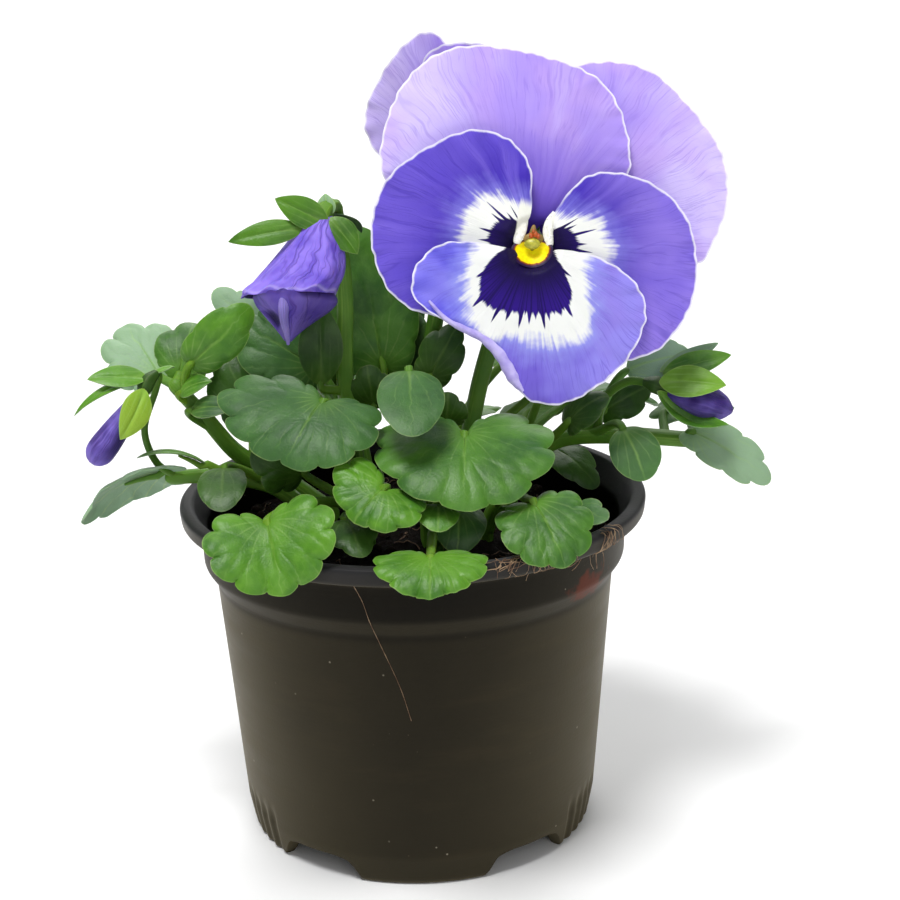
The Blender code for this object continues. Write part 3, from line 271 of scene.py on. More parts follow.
def add_piece(name, shape, look, slot, nodes=(), sharp=60):
    """One mesh piece, riding on the root and standing for the nodes named."""
    mesh = bpy.data.meshes.new(name)
    places = (shape.verts + POT_AT) * MM
    mesh.vertices.add(len(places))
    mesh.vertices.foreach_set("co", places.ravel())
    corners = np.concatenate([shape.quads.ravel(), shape.tris.ravel()])
    mesh.loops.add(len(corners))
    mesh.loops.foreach_set("vertex_index", corners)
    first = len(shape.quads) * 4
    starts = np.concatenate([np.arange(len(shape.quads)) * 4, first + np.arange(len(shape.tris)) * 3])
    mesh.polygons.add(len(starts))
    mesh.polygons.foreach_set("loop_start", starts)
    mesh.update(calc_edges=True)
    flat = mesh.uv_layers.new(name="flat")
    flat.data.foreach_set("uv", shape.uv[corners].ravel())
    tone = mesh.attributes.new("tone", "FLOAT_COLOR", "POINT")
    tone.data.foreach_set("color", np.ascontiguousarray(shape.tone).ravel())
    mesh.validate()
    mesh.shade_smooth()
    mesh.set_sharp_from_angle(angle=math.radians(sharp))
    made = bpy.data.objects.new(name, mesh)
    bpy.context.scene.collection.objects.link(made)
    made.data.materials.append(look)
    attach(made, "root")
    if nodes:
        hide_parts(*nodes)
    return made


def ring_quads(rings, sides):
    """Faces between rings of points that follow one another."""
    k = np.arange(sides)
    after = (k + 1) % sides
    band = np.column_stack([k, after, after + sides, k + sides])
    return np.vstack([band + i * sides for i in range(rings - 1)])


def end_fans(rings, sides):
    """Faces that close such rings, with the hubs of the first and the last ring after their points."""
    k = np.arange(sides)
    after = (k + 1) % sides
    low, last = rings * sides, (rings - 1) * sides
    return np.vstack([columns(low, after, k), columns(low + 1, last + k, last + after)])


def rim_quads(sides, under):
    """Faces from the first ring of a sheet to the same ring of its underside."""
    k = np.arange(sides)
    after = (k + 1) % sides
    return np.column_stack([k, k + under, after + under, after])


def lathed(rings, uv=None, tone=None, flip=False):
    """A closed body through rings of points, with a hub in the middle of its first and last ring."""

    def with_hubs(rows):
        return None if rows is None else np.vstack([*rows, rows[0].mean(axis=0), rows[-1].mean(axis=0)])

    step = -1 if flip else 1
    quads = ring_quads(len(rings), len(rings[0]))[:, ::step]
    tris = end_fans(len(rings), len(rings[0]))[:, ::step]
    return Shape(with_hubs(rings), quads, tris, with_hubs(uv), with_hubs(tone))


def tube(path, radii, sides, tone=(0, 0, 0, 0), ribs=0, rib_depth=0.0, round_end=True):
    """Closed tube along a path. ribs raises that many ridges along it."""
    path = np.asarray(path, float)
    radii = np.broadcast_to(np.asarray(radii, float), len(path)).copy()
    if round_end:
        ahead = unit(path[-1] - path[-2]) * radii[-1]
        path = np.vstack([path, path[-1] + ahead * 0.5, path[-1] + ahead * 0.85])
        radii = np.concatenate([radii, [radii[-1] * 0.8, radii[-1] * 0.42]])
    n = len(path)
    tangents = [unit(path[min(i + 1, n - 1)] - path[max(i - 1, 0)]) for i in range(n)]
    side = np.cross(tangents[0], (0.3, 0.5, 0.81))
    turn = whole_turn(sides)
    cos, sin = np.cos(turn)[:, None], np.sin(turn)[:, None]
    swell = 1 + rib_depth * np.cos(ribs * turn)[:, None]
    way = ways(path) / TUBE_SPAN
    verts, uv = [], []
    for point, tangent, radius, length in zip(path, tangents, radii, way):
        side = unit(side - tangent * (side @ tangent))
        verts.append(point + radius * swell * (cos * side + sin * np.cross(tangent, side)))
        uv.append(columns(turn / (2 * math.pi), length))
    verts = np.vstack([*verts, path[0], path[-1]])
    uv = np.vstack([*uv, (0.5, 0), (0.5, way[-1])])
    return Shape(verts, ring_quads(n, sides), end_fans(n, sides), uv, tone)


def blade(edge_at, centre, around, rings, lift, place, thickness, flat_uv, paint):
    """A thin closed blade on rings of its flat outline, shrunk to a centre.

    edge_at and lift are as in the part, and place is the blade's origin with its axes. flat_uv turns
    flat points into uv, and paint gives the four painted values from the distance to the edge and
    the side, 1 above.
    """
    shares = np.arange(around) / around
    edge = edge_at(shares)
    scales = 1 - np.linspace(0, 1, rings + 1)[:-1] ** 1.25
    flat = np.vstack([centre + (edge - centre) * scale for scale in scales] + [[centre]])
    way = np.concatenate([np.tile(shares, rings), [0.5]])
    scale = np.concatenate([np.repeat(scales, around), [0.0]])
    reach = np.linalg.norm(edge - centre, axis=1)
    rim = np.concatenate([np.outer(1 - scales, reach).ravel(), [reach.min()]])
    at, axes = place
    mid = at + np.column_stack([flat, lift(flat, way, scale)]) @ axes
    k = np.arange(around)
    last, hub = (rings - 1) * around, rings * around
    quads = ring_quads(rings, around)
    tris = columns(last + k, last + (k + 1) % around, hub)
    normals = np.zeros_like(mid)
    for faces in (quads, tris):
        cross = np.cross(mid[faces[:, 2]] - mid[faces[:, 0]], mid[faces[:, -1]] - mid[faces[:, 1]])
        for column in faces.T:
            np.add.at(normals, column, cross)
    normals /= np.linalg.norm(normals, axis=1)[:, None] + 1e-12
    half = normals * thickness / 2 * (0.45 + 0.55 * smooth(rim, 0.0, 0.9))[:, None]
    n = len(mid)
    return Shape(
        np.vstack([mid + half, mid - half]),
        np.vstack([quads, quads[:, ::-1] + n, rim_quads(around, n)]),
        np.vstack([tris, tris[:, ::-1] + n]),
        np.vstack([flat_uv(flat)] * 2),
        np.vstack([paint(rim, 1.0), paint(rim, 0.0)]),
    )


def leaf_edge(length, width, taper, lobes, notch, gap, skew):
    """The flat outline of a leaf with rounded teeth, from its stalk round the tip and back.

    gap is half the angle that stays open behind the stalk, and skew widens one half of the blade.
    """
    turn = np.linspace(-math.pi, math.pi, 721)
    ahead = (1 + np.cos(turn)) / 2
    if lobes:
        heading = turn * (1 - gap / 180)
        along = length * ahead ** taper * np.cos(heading)
        across = ahead ** taper * np.sin(heading)
        across *= width / 2 / across.max()
        across *= 1 + skew * np.sign(across)
    else:
        along = length * ahead
        across = np.sign(turn) * width / 2 * np.sin(math.pi * ahead ** 0.85) ** 0.8
    outline = np.column_stack([along, across])
    centre = np.array([0.36 * length, 0.0])

    def edge_at(share):
        points = points_at(outline, share)
        if lobes:
            cut = notch * (1 - np.abs(np.sin(math.pi * lobes * share)) ** 0.6)
            cut *= np.clip(np.minimum(share, 1 - share) / 0.07, 0, 1)
            points = centre + (points - centre) * (1 - cut)[:, None]
        return points

    return edge_at, centre


# Veins fan out from the stalk this many radians apart and bend towards the tip
VEIN_STEP = 0.36
VEIN_BEND = 0.45
VEIN_SPAN = 40.0


def fan(flat, length):
    """How many veins from the midrib each flat point lies, and its distance from the stalk."""
    reach = np.hypot(flat[:, 0], flat[:, 1])
    turn = np.arctan2(flat[:, 1], flat[:, 0])
    return (turn + VEIN_BEND * reach / length * np.sin(turn)) / VEIN_STEP, reach


def leaf(
    base, tip, width, facing, taper=LEAF_TAPER, lobes=9, notch=0.16, arch=LEAF_ARCH, fold=0.0,
    gap=0.0, skew=0.0, tone=FRESH, relief=1.0,
):
    """A leaf blade of the part's form, quilted between its veins, with a margin that turns down."""
    base, tip = np.asarray(base, float), np.asarray(tip, float)
    axes = frame_of(tip - base, facing)
    length = np.linalg.norm(tip - base)
    edge_at, centre = leaf_edge(length, width, taper, lobes, notch, gap, skew)
    seed = base * 0.37 + width
    small = min(1.0, width / 18) * relief
    yellow, wax, light = tone

    def lift(flat, way, scale):
        t = flat[:, 0] / length
        half = 0.06 * width
        keel = np.sqrt(flat[:, 1] ** 2 + half * half) - half
        height = arch * length * (t - t * t) + fold * keel
        if lobes == 0:
            return height - 0.25 * relief * np.exp(-((flat[:, 1] / 0.35) ** 2))
        veins, reach = fan(flat, length)
        slow = np.hstack([flat / max(width, 8) * 2.2, np.zeros((len(flat), 1))]) + seed
        bend = 0.6 * rough(slow * 1.7, 1.0, 2)
        line = np.cos(2 * math.pi * (veins + bend * smooth(reach, 1, 8)))
        away = smooth(reach, 0.12 * length, 0.7 * length)
        groove = 0.14 * smooth(line, 0.6, 1.0) * away * smooth(scale, 1.05, 0.75)
        rib = 0.28 * np.exp(-((veins / 0.16) ** 2)) * smooth(t, 1.0, 0.2) * smooth(t, 0, 0.15)
        quilt = 0.12 * line * away * scale ** 3
        teeth = 0.36 * (np.abs(np.sin(math.pi * lobes * way)) ** 0.8 - 0.6) * scale ** 6
        waves = 0.85 * rough(slow, 1.0, 2) * (0.3 + 0.7 * scale)
        return height + small * (teeth + waves - groove - rib - quilt - 0.9 * scale ** 5)

    def flat_uv(flat):
        veins, reach = fan(flat, length)
        if lobes == 0:
            veins = flat[:, 1] / width * 5
        return np.column_stack([veins / VEIN_SPAN + 0.5, reach / VEIN_SPAN])

    def paint(rim, side):
        return columns(yellow, wax, light * 0.5, side + 0.1 * rim)

    fine = width > WIDE_LEAF
    around = lobes * (16 if fine else 10) if lobes else 40
    rings = 18 if fine else 10
    return blade(edge_at, centre, around, rings, lift, (base, axes), BLADE, flat_uv, paint)


# The rib that a stalk makes under its blade: share of the blade's length, and radius
STALK_RIB = [(0.1, 0.62), (0.2, 0.5), (0.3, 0.4), (0.42, 0.25)]


def leaf_stalk(start, heading, base, tip, facing, taper, arch, tone):
    """A leaf stalk that leaves its stem at start and runs on under the blade as its rib."""
    start, base, tip = (np.asarray(v, float) for v in (start, base, tip))
    axes = frame_of(tip - base, facing)
    length = np.linalg.norm(tip - base)
    gap = np.linalg.norm(base - start)
    leave = start + unit(heading) * gap * 0.38
    steep = 1.6 if taper < 0.5 else arch
    arrive = base - unit(axes[0] + axes[2] * steep) * gap * 0.3
    t = np.linspace(0, 1, 17)[:, None]
    curve = (1 - t) ** 3 * start + 3 * t * (1 - t) ** 2 * leave
    curve = curve + 3 * t * t * (1 - t) * arrive + t ** 3 * base
    points, radii = list(curve), list(np.linspace(1.05, 0.75, len(curve)))
    for run, radius in STALK_RIB:
        under = arch * length * (run - run * run) - BLADE - radius * 1.3
        points.append(base + axes[0] * run * length + axes[2] * under)
        radii.append(radius)
    return tube(points, radii, 12, tone=tone, ribs=3, rib_depth=0.1)


def bloom_axes(bloom):
    """The throat of a bloom and its axes: to its own right, up and out."""
    at, facing, up = bloom
    z = unit(facing)
    return np.asarray(at, float), frame_of(np.cross(up, z), z)


def in_bloom(bloom, points):
    """Points given from a bloom's throat, in the plant's own place."""
    at, axes = bloom_axes(bloom)
    return at + np.asarray(points, float) @ axes


def calyx(bloom):
    """The green cup behind a flower, with five narrow sepals, as (stems, blades)."""
    steps = smooth_path(CALYX, 6)
    path, radii = in_bloom(bloom, steps[:, :3]), steps[:, 3]
    cup = tube(path, radii, 24, tone=(0.7, 0.2, 0.45, 1), ribs=5, rib_depth=0.06)
    blades = []
    for angle in np.radians(SEPAL_ANGLES):
        root, tip = (
            in_bloom(bloom, (reach * math.cos(angle), reach * math.sin(angle), depth))
            for reach, depth in (SEPAL_ROOT, SEPAL_TIP)
        )
        blades.append(leaf(root, tip, SEPAL_WIDTH, bloom[1], taper=1.5, lobes=0, arch=-0.2))
    return [cup], blades


def sepal(base, tip, width, facing, arch, tone, fold=0.0):
    """A narrow leaf without teeth, as on the cups of the buds."""
    return leaf(base, tip, width, facing, taper=1.2, lobes=0, arch=arch, tone=tone, fold=fold)


# Values of the broad kidney-shaped leaves that spread over the rim
KIDNEY = {"lobes": 11, "taper": 0.2, "notch": 0.12, "gap": 32, "arch": 0.3}
# Values of the small round leaves, whose stalk stands on the blade's own circle
ROUND = {"lobes": 5, "taper": 0.5, "notch": 0.03, "gap": 90, "relief": 0.45}

# Shoots: the stem's foot in the plan, its other points and its radius, then leaves as
# (share of the stem, base, tip, width, facing, tone, other blade values)
SHOOTS = {
    "shoot_left_low": {
        "stem": [(-17.5, -4), (-26, -5, 70.2), (-37, -5, 72.8), (-46, -4, 72.5)],
        "radius": 1.6,
        "leaves": [
            (0.97, (-47, -4.5, 74.2), (-63, -10, 66.2), 15, (0.15, 0.55, 0.8), PALE,
             {"lobes": 7, "fold": -0.2}),
            (0.62, (-38.5, -7.5, 76.0), (-51, -12, 79.2), 3.4, UP, OLIVE, {"taper": 1.5, "lobes": 0}),
            (0.55, (-34.6, -15, 77.6), (-34.3, -27, 73), 9, (0, -0.85, 0.5), DEEP_IN_SHADE, ROUND),
        ],
    },
    "shoot_left_high": {
        "stem": [(-16.5, 6), (-25, 5, 68.5), (-33.5, 2, 75), (-39.2, 0, 83),
                 (-44.6, 0, 89.6)],
        "radius": 1.7,
        "leaves": [
            (0.98, (-48, 3, 91), (-55.5, 13, 99), 17, (0.2, -0.7, 0.7), PALE,
             {"lobes": 7, "taper": 0.7, "arch": 0.3}),
            (0.98, (-44, 3, 91), (-41.5, 11, 99.5), 12, (0, -0.8, 0.6), FRESH,
             {"lobes": 5, "taper": 0.8}),
            (0.9, (-40.8, -3, 94.5), (-29, -3, 105), 9.5, (0.2, -0.95, 0.2), BRIGHT,
             {"taper": 1.5, "lobes": 5, "notch": 0.1}),
            (0.75, (-41.5, -4, 85.6), (-33, -7, 86.5), 5, (0, -0.7, 0.7), WAXY,
             {"taper": 1.2, "lobes": 0}),
            (0.9, (-43.5, -2.5, 88.5), (-37, -5, 91.5), 5, FRONT_UP, BRIGHT, {"taper": 1.2, "lobes": 0}),
            (0.55, (-31, 7, 81), (-36, 9, 93), 13, (0.1, -0.9, 0.4), DEEP_IN_SHADE, {"lobes": 5, "taper": 1.0}),
        ],
    },
    "shoot_nodding": {
        "stem": [(-9.5, 4), (-12.2, 2, 87), (-11.6, 2, 105), (-12.2, 2, 117),
                 (-12.6, -1, 122.8)],
        "radius": 1.6,
        "leaves": [
            (0.22, (-15.5, -22, 91.5), (-22.3, -32.2, 83), 31.5, (-0.05, -0.6, 0.8), WAXY,
             {**KIDNEY, "skew": -0.22, "fold": -0.12}),
            (0.3, (-18.5, 6, 91), (-33, 7, 99.5), 17, (0, -0.85, 0.5), WAXY, {"lobes": 7}),
            (0.35, (-28, 16, 95), (-38, 18, 104), 9, FRONT, PALE, {"lobes": 5}),
            (0.5, (-16.8, -1.5, 89), (-16.4, 1, 105), 8.5, (0.1, -1, 0.1), DEEP_IN_SHADE,
             {"taper": 1.6, "lobes": 0}),
            (0.3, (-7, 3, 83.5), (-8, 1, 92), 9.5, FRONT, DEEP_IN_SHADE, {"lobes": 5, "taper": 0.7}),
        ],
    },
    "shoot_bloom": {
        "stem": [(8.5, 3), (13.6, 2, 88), (19.5, 2.5, 106), (23.2, 3, 116),
                 (23.8, -1.5, 119.4), (23.3, -6.2, 116.0)],
        "radius": 1.5,
        "leaves": [
            (0.25, (25, 3, 86), (33, 4, 94), 12, (0.1, -0.85, 0.5), DEEP_IN_SHADE, {"lobes": 5, "taper": 1.0}),
            (0.12, (6.8, -7, 82.5), (7.2, -9.5, 89), 8, FRONT, DEEP_IN_SHADE, {"lobes": 5, "taper": 0.7}),
        ],
    },
    "shoot_back_bloom": {
        "stem": [(2, 11), (3.5, 10, 86), (6.5, 6.5, 106), (7.8, 2.5, 119),
                 (9.4, 3.2, 123.2), (10.2, 7.0, 122.6)],
        "radius": 1.5,
        "leaves": [
            (0.2, (4, 3, 89), (9.6, 5, 98.5), 9, FRONT, DEEP_IN_SHADE, {"lobes": 5, "taper": 0.9}),
            (0.3, (-2.4, 13, 87), (-3, 14, 103), 15, (-0.1, -0.95, 0.3), DEEP_IN_SHADE,
             {"lobes": 5, "taper": 1.0}),
        ],
    },
    "shoot_right": {
        "stem": [(17.5, 4), (22, 3.5, 70.5), (29, 2.5, 76), (41, 0, 77),
                 (53, -2, 76.4)],
        "radius": 1.7,
        "leaves": [
            # These two leaves lie in the bloom's shadow; their tones are lightened as painted light
            (0.6, (41.5, 1, 89.5), (53.5, -1, 92.6), 9, (0, -0.75, 0.65), PAINTED_LIT, {**ROUND, "notch": 0.06}),
            (0.64, (39.6, -9.5, 81.2), (43.4, -16, 73), 9.5, (0.1, -0.95, 0.25), (0.3, 0.6, 1.15), ROUND),
            (0.98, (53.5, -4, 78.5), (68, -8, 69.3), 9.5, (0.1, -0.85, 0.55), PALE,
             {"lobes": 7, "taper": 1.2}),
            (0.55, (38, 6, 80.5), (47, 8, 84.5), 8, FRONT, DEEP_IN_SHADE, {"lobes": 5, "taper": 0.9}),
            (0.35, (30, -6, 82), (37, -7, 87), 8, FRONT_UP, DEEP_IN_SHADE, {"lobes": 5, "taper": 0.7}),
            (0.9, (50, 6, 80), (64, 12, 79), 13, (0.1, 0.1, 0.95), WAXY, {"lobes": 7, "taper": 0.9}),
        ],
    },
    "shoot_centre": {
        "stem": [(3, -7.5), (2.5, -11, 74), (1.0, -15, 88)],
        "radius": 1.5,
        "leaves": [
            (0.97, (0, -18.8, 96), (0.3, -35.5, 88.4), 12, (0.05, -0.72, 0.7), WAXY,
             {**ROUND, "arch": 0.35}),
            (0.8, (9.6, -25, 85.6), (8.8, -39.5, 76.4), 33, FRONT_UP, FRESH,
             {**KIDNEY, "taper": 0.1, "gap": 18, "fold": -0.05}),
        ],
    },
    "shoot_centre_low": {
        "stem": [(4, -15.5), (4, -19, 67)],
        "radius": 1.4,
        "leaves": [
            (0.95, (4.6, -31, 74.6), (4.2, -38.6, 72), 7.5, FRONT_UP, BRIGHT, ROUND),
            (0.9, (8.4, -26, 71.6), (7.6, -33, 66), 10, FRONT, WAXY,
             {"lobes": 5, "notch": 0.05, "taper": 0.65}),
            (0.85, (2.7, -44.5, 69.4), (2.4, -53, 65.8), 20.2, FRONT_UP, BRIGHT,
             {**KIDNEY, "taper": 0.1, "gap": 22}),
        ],
    },
    "shoot_front_left": {
        "stem": [(-9, -11.5), (-10, -15, 69)],
        "radius": 1.6,
        "leaves": [
            (0.95, (-5, -34.5, 79), (-10.3, -39, 74.6), 18.5, (-0.1, -0.75, 0.65), BRIGHT,
             {**KIDNEY, "lobes": 9, "taper": 0.12, "fold": 0.1}),
            (0.8, (-25.5, -36.5, 74), (-22.5, -45, 63.5), 23.6, (0, -0.82, 0.57), BRIGHT,
             {**KIDNEY, "taper": 0.28, "fold": 0.3}),
            (0.7, (-12.2, -28, 71), (-9.1, -38, 67.8), 10, FRONT_UP, DEEP_IN_SHADE, {"lobes": 5}),
            (0.85, (-20, -15, 76), (-27, -18, 86), 15, (0.1, -0.9, 0.4), DEEP_IN_SHADE,
             {"lobes": 7, "taper": 0.9}),
        ],
    },
    "shoot_front_right": {
        "stem": [(13.5, -9.5), (15.5, -12.5, 68)],
        "radius": 1.5,
        "leaves": [
            (0.95, (21, -33.5, 75.5), (26, -44, 67), 17.2, (0.1, -0.72, 0.68), FRESH,
             {**KIDNEY, "lobes": 9, "taper": 0.3, "gap": 60}),
            (0.8, (27.1, -21, 68), (34.5, -30.5, 70.6), 8, FRONT_UP, WAXY, {"lobes": 5, "taper": 1.0}),
        ],
    },
    "shoot_back_left": {
        "stem": [(-8.5, 15), (-10, 17, 72)],
        "radius": 1.6,
        "leaves": [
            (0.9, (-5, 8, 90), (-9.5, 9.5, 117), 18, (0.1, -1, 0.1), FRESH,
             {"taper": 1.3, "lobes": 7, "notch": 0.08, "arch": 0.12}),
            (0.95, (-22, 27, 82), (-38, 37, 80), 23, BACK_UP, FRESH, {}),
            (0.8, (-8, 32, 84), (-12, 49, 79), 21, BACK_UP, WAXY, {}),
            (0.9, (-17, 21, 84), (-21, 23, 103), 17, (-0.1, -0.97, 0.2), DEEP_IN_SHADE,
             {"lobes": 5, "taper": 1.1}),
        ],
    },
    "shoot_back": {
        "stem": [(8.5, 20.5), (9, 24, 70)],
        "radius": 1.6,
        "leaves": [
            (0.95, (8, 34, 73.5), (10, 51, 68.6), 22, BACK_UP, BRIGHT, {"arch": 0.2}),
            (0.9, (22, 33, 86), (31, 46, 82), 20, BACK_UP, FRESH, {}),
            (0.8, (-1, 26, 90), (-4, 30, 104), 12, (0, -0.95, 0.3), DEEP_IN_SHADE, {"lobes": 5, "taper": 1.0}),
        ],
    },
    "shoot_back_right": {
        "stem": [(19.5, 13), (22, 14, 70)],
        "radius": 1.5,
        "leaves": [
            (0.8, (28, 10, 72.1), (36, 2, 65.8), 9, (0.2, -0.6, 0.75), DEEP_IN_SHADE, {"lobes": 5}),
            (0.95, (35, 22, 79), (51, 28, 76), 20, (0.2, 0.1, 0.95), WAXY, {}),
            (0.85, (31, 13, 90), (42, 15, 98), 14, (0, -0.6, 0.8), FRESH, {"lobes": 7, "taper": 0.9}),
            (0.9, (24, 22, 76), (36, 38, 73), 18, BACK_UP, FRESH, {"lobes": 7}),
        ],
    },
}

# Outlines of the open bloom's petals, seen from the front, in millimetres from the throat
UPPER_LEFT = [
    (-1.15, 1.7), (0.2, 2.5), (3.5, 4.6), (12, 7), (17, 12.6), (16.3, 21), (13, 27.5), (7.3, 31.3),
    (-2.5, 34.2), (-11.3, 35.1), (-18.3, 33.1), (-24, 27.3), (-27.2, 18), (-26.3, 11.5), (-20, 6),
    (-10, 4.4), (-3.4, 4.0), (-2.1, 2.5),
]
UPPER_RIGHT = [
    (1.9, 1.65), (1.2, 2.6), (1.6, 5.2), (2.5, 12), (3, 22), (5.5, 30), (11.9, 32.2), (19.5, 31),
    (25.4, 26.8), (33.2, 17), (34.9, 8), (32.8, 0.9), (28.9, -4), (18, -2), (8, 0.8), (4.2, 1.2),
    (2.7, 1.1),
]
SIDE_LEFT = [
    (-1.75, 0.0), (-2.1, 0.9), (-3.2, 2.2), (-0.6, 4.8), (-0.2, 9.2), (-0.6, 14), (-4.3, 18.5),
    (-10.5, 20.2), (-17.5, 17.9), (-24.7, 13.2), (-28.2, 7.2), (-28.9, 0.2), (-26.3, -7.3),
    (-21, -11.6), (-14, -12), (-7, -6), (-3.9, -1.9), (-2.1, -0.8),
]
SIDE_RIGHT = [
    (1.75, 0.0), (2.1, -0.8), (3.9, -1.9), (6, -5), (9, -13), (14, -20), (19, -20.3), (23.6, -17.9),
    (27.9, -11.5), (29.1, -4.6), (27.6, 3.4), (23.2, 9.0), (16.5, 12.1), (10.3, 12.2), (6.4, 9.2),
    (3.8, 5.4), (3.3, 2.2), (2.1, 0.9),
]
LIP = [
    (0.0, -1.6), (-1.1, -1.7), (-2.5, -1.7), (-4.2, -0.6), (-11.7, 0.7), (-17, 0), (-20.8, -3.6),
    (-21.5, -8), (-19.2, -11), (-13, -14.6), (-6, -18.8), (-3.6, -24), (-0.7, -27.6), (5, -28.4),
    (10.8, -25.7), (16.8, -20.4), (20, -13), (18.2, -7), (12, -2.5), (5, -0.9), (2.7, -1.7),
    (1.1, -1.7),
]
BACK_UPPER_RIGHT = [
    (1.15, 1.7), (0.6, 2.6), (1.2, 5.2), (0.5, 14), (1.5, 24), (6, 30.3), (11, 29.4), (17.1, 23.3),
    (21.1, 15.5), (19.6, 8.5), (12, 4), (4.6, 1.9), (2.3, 1.3),
]
BACK_UPPER_LEFT = [
    (-1.9, 1.65), (-4.6, 2.6), (-12, 5), (-20, 11), (-19, 19), (-13, 25), (-4, 28.5), (4, 28.4),
    (8.2, 25.2), (8.6, 18), (5, 8), (1.6, 4.8), (-0.7, 2.7),
]
BACK_SIDE_LEFT = [
    (-1.75, 0.0), (-2.1, 0.9), (-3.4, 2.2), (-7, 6.5), (-12, 8), (-16.5, 4.5), (-17.4, -2.5),
    (-15.5, -9.5), (-10, -11.5), (-5.5, -6.5), (-3.9, -1.9), (-2.1, -0.8),
]
BACK_SIDE_RIGHT = [(-x, y) for x, y in BACK_SIDE_LEFT[:1] + BACK_SIDE_LEFT[:0:-1]]
BACK_LIP = [
    (0.0, -1.6), (-1.1, -1.7), (-2.6, -3.2), (-6, -3.2), (-13, -5), (-16, -11), (-12, -19), (-4, -23.5),
    (4, -23.5), (12, -19), (16, -11), (13, -5), (6, -3.2), (2.6, -3.2), (1.1, -1.7),
]


class Value:
    """A socket of a node tree, with arithmetic that adds its Math nodes."""

    def __init__(self, graph, socket):
        self.graph = graph
        self.socket = socket

    def __add__(self, other):
        return self.graph.math("ADD", self, other)

    def __sub__(self, other):
        return self.graph.math("SUBTRACT", self, other)

    def __rsub__(self, other):
        return self.graph.math("SUBTRACT", other, self)

    def __mul__(self, other):
        return self.graph.math("MULTIPLY", self, other)

    def __truediv__(self, other):
        return self.graph.math("DIVIDE", self, other)

    __radd__ = __add__
    __rmul__ = __mul__


class Graph:
    """A material's node tree, with short calls that add its nodes."""

    def __init__(self, name, **constants):
        self.material = bpy.data.materials.new(name)
        self.material.use_nodes = True
        self.tree = self.material.node_tree
        self.shader = self.tree.nodes["Principled BSDF"]
        for key, value in constants.items():
            self.shader.inputs[self.socket_name(key)].default_value = value

    @staticmethod
    def socket_name(key):
        return key.replace("_", " ").title().replace("Ior", "IOR")

    def node(self, kind, inputs=(), **settings):
        made = self.tree.nodes.new(kind)
        for key, value in settings.items():
            setattr(made, key, value)
        for key, value in dict(inputs).items():
            if isinstance(value, Value):
                self.tree.links.new(value.socket, made.inputs[key])
            else:
                made.inputs[key].default_value = value
        return made

    def math(self, operation, *values, clamp=False):
        made = self.node("ShaderNodeMath", enumerate(values), operation=operation, use_clamp=clamp)
        return Value(self, made.outputs[0])

    def step(self, value, low, high):
        """Smooth step: 0 at low and 1 at high, which may be the lower of the two."""
        inputs = {"Value": value, "From Min": min(low, high), "From Max": max(low, high)}
        if low > high:
            inputs.update({"To Min": 1.0, "To Max": 0.0})
        made = self.node("ShaderNodeMapRange", inputs, interpolation_type="SMOOTHSTEP")
        return Value(self, made.outputs[0])

    def combine(self, x, y, z=0.0):
        made = self.node("ShaderNodeCombineXYZ", {"X": x, "Y": y, "Z": z})
        return Value(self, made.outputs[0])

    def noise(self, vector, scale=1.0, detail=2.0, roughness=0.5):
        made = self.node(
            "ShaderNodeTexNoise",
            {"Vector": vector, "Scale": scale, "Detail": detail, "Roughness": roughness},
        )
        return Value(self, made.outputs[0])

    def noise_at(self, x, y, z=0.0, detail=2.0):
        return self.noise(self.combine(x, y, z), 1.0, detail)

    def cells(self, vector, scale, feature="DISTANCE_TO_EDGE"):
        made = self.node("ShaderNodeTexVoronoi", {"Vector": vector, "Scale": scale}, feature=feature)
        return Value(self, made.outputs["Distance"])

    def mix(self, share, first, second):
        made = self.node("ShaderNodeMix", {0: share, 6: first, 7: second}, data_type="RGBA")
        return Value(self, made.outputs[2])

    def layered(self, colour, *layers):
        """A colour with others laid over it, each with its share and its 0 to 255 steps or a socket."""
        for share, over in layers:
            colour = self.mix(share, colour, over if isinstance(over, Value) else srgb(*over))
        return colour

    def scaled(self, vector, factor):
        made = self.node("ShaderNodeVectorMath", {0: vector, "Scale": factor}, operation="SCALE")
        return Value(self, made.outputs[0])

    def curve(self, value, points, handle="AUTO"):
        """A value read off a curve through points, all within 0 to 1."""
        made = self.node("ShaderNodeFloatCurve", {"Value": value})
        line = made.mapping.curves[0]
        line.points[0].location = points[0]
        line.points[1].location = points[-1]
        for x, y in points[1:-1]:
            line.points.new(x, y)
        for point in line.points:
            point.handle_type = handle
        made.mapping.update()
        return Value(self, made.outputs[0])

    def split(self, vector):
        made = self.node("ShaderNodeSeparateXYZ", {0: vector})
        return [Value(self, s) for s in made.outputs]

    def flat(self):
        made = self.node("ShaderNodeUVMap", uv_map="flat")
        return self.split(Value(self, made.outputs[0]))[:2]

    def tone(self):
        made = self.node("ShaderNodeAttribute", attribute_name="tone")
        return self.split(Value(self, made.outputs["Vector"])) + [Value(self, made.outputs["Alpha"])]

    def place(self):
        """Place in the frame, in millimetres."""
        made = self.node("ShaderNodeTexCoord")
        return self.scaled(Value(self, made.outputs["Object"]), 1 / MM)

    def set(self, **sockets):
        for key, value in sockets.items():
            self.tree.links.new(value.socket, self.shader.inputs[self.socket_name(key)])
        return self.material

    def bump(self, height, distance):
        made = self.node("ShaderNodeBump", {"Height": height, "Distance": distance * MM})
        self.tree.links.new(made.outputs[0], self.shader.inputs["Normal"])


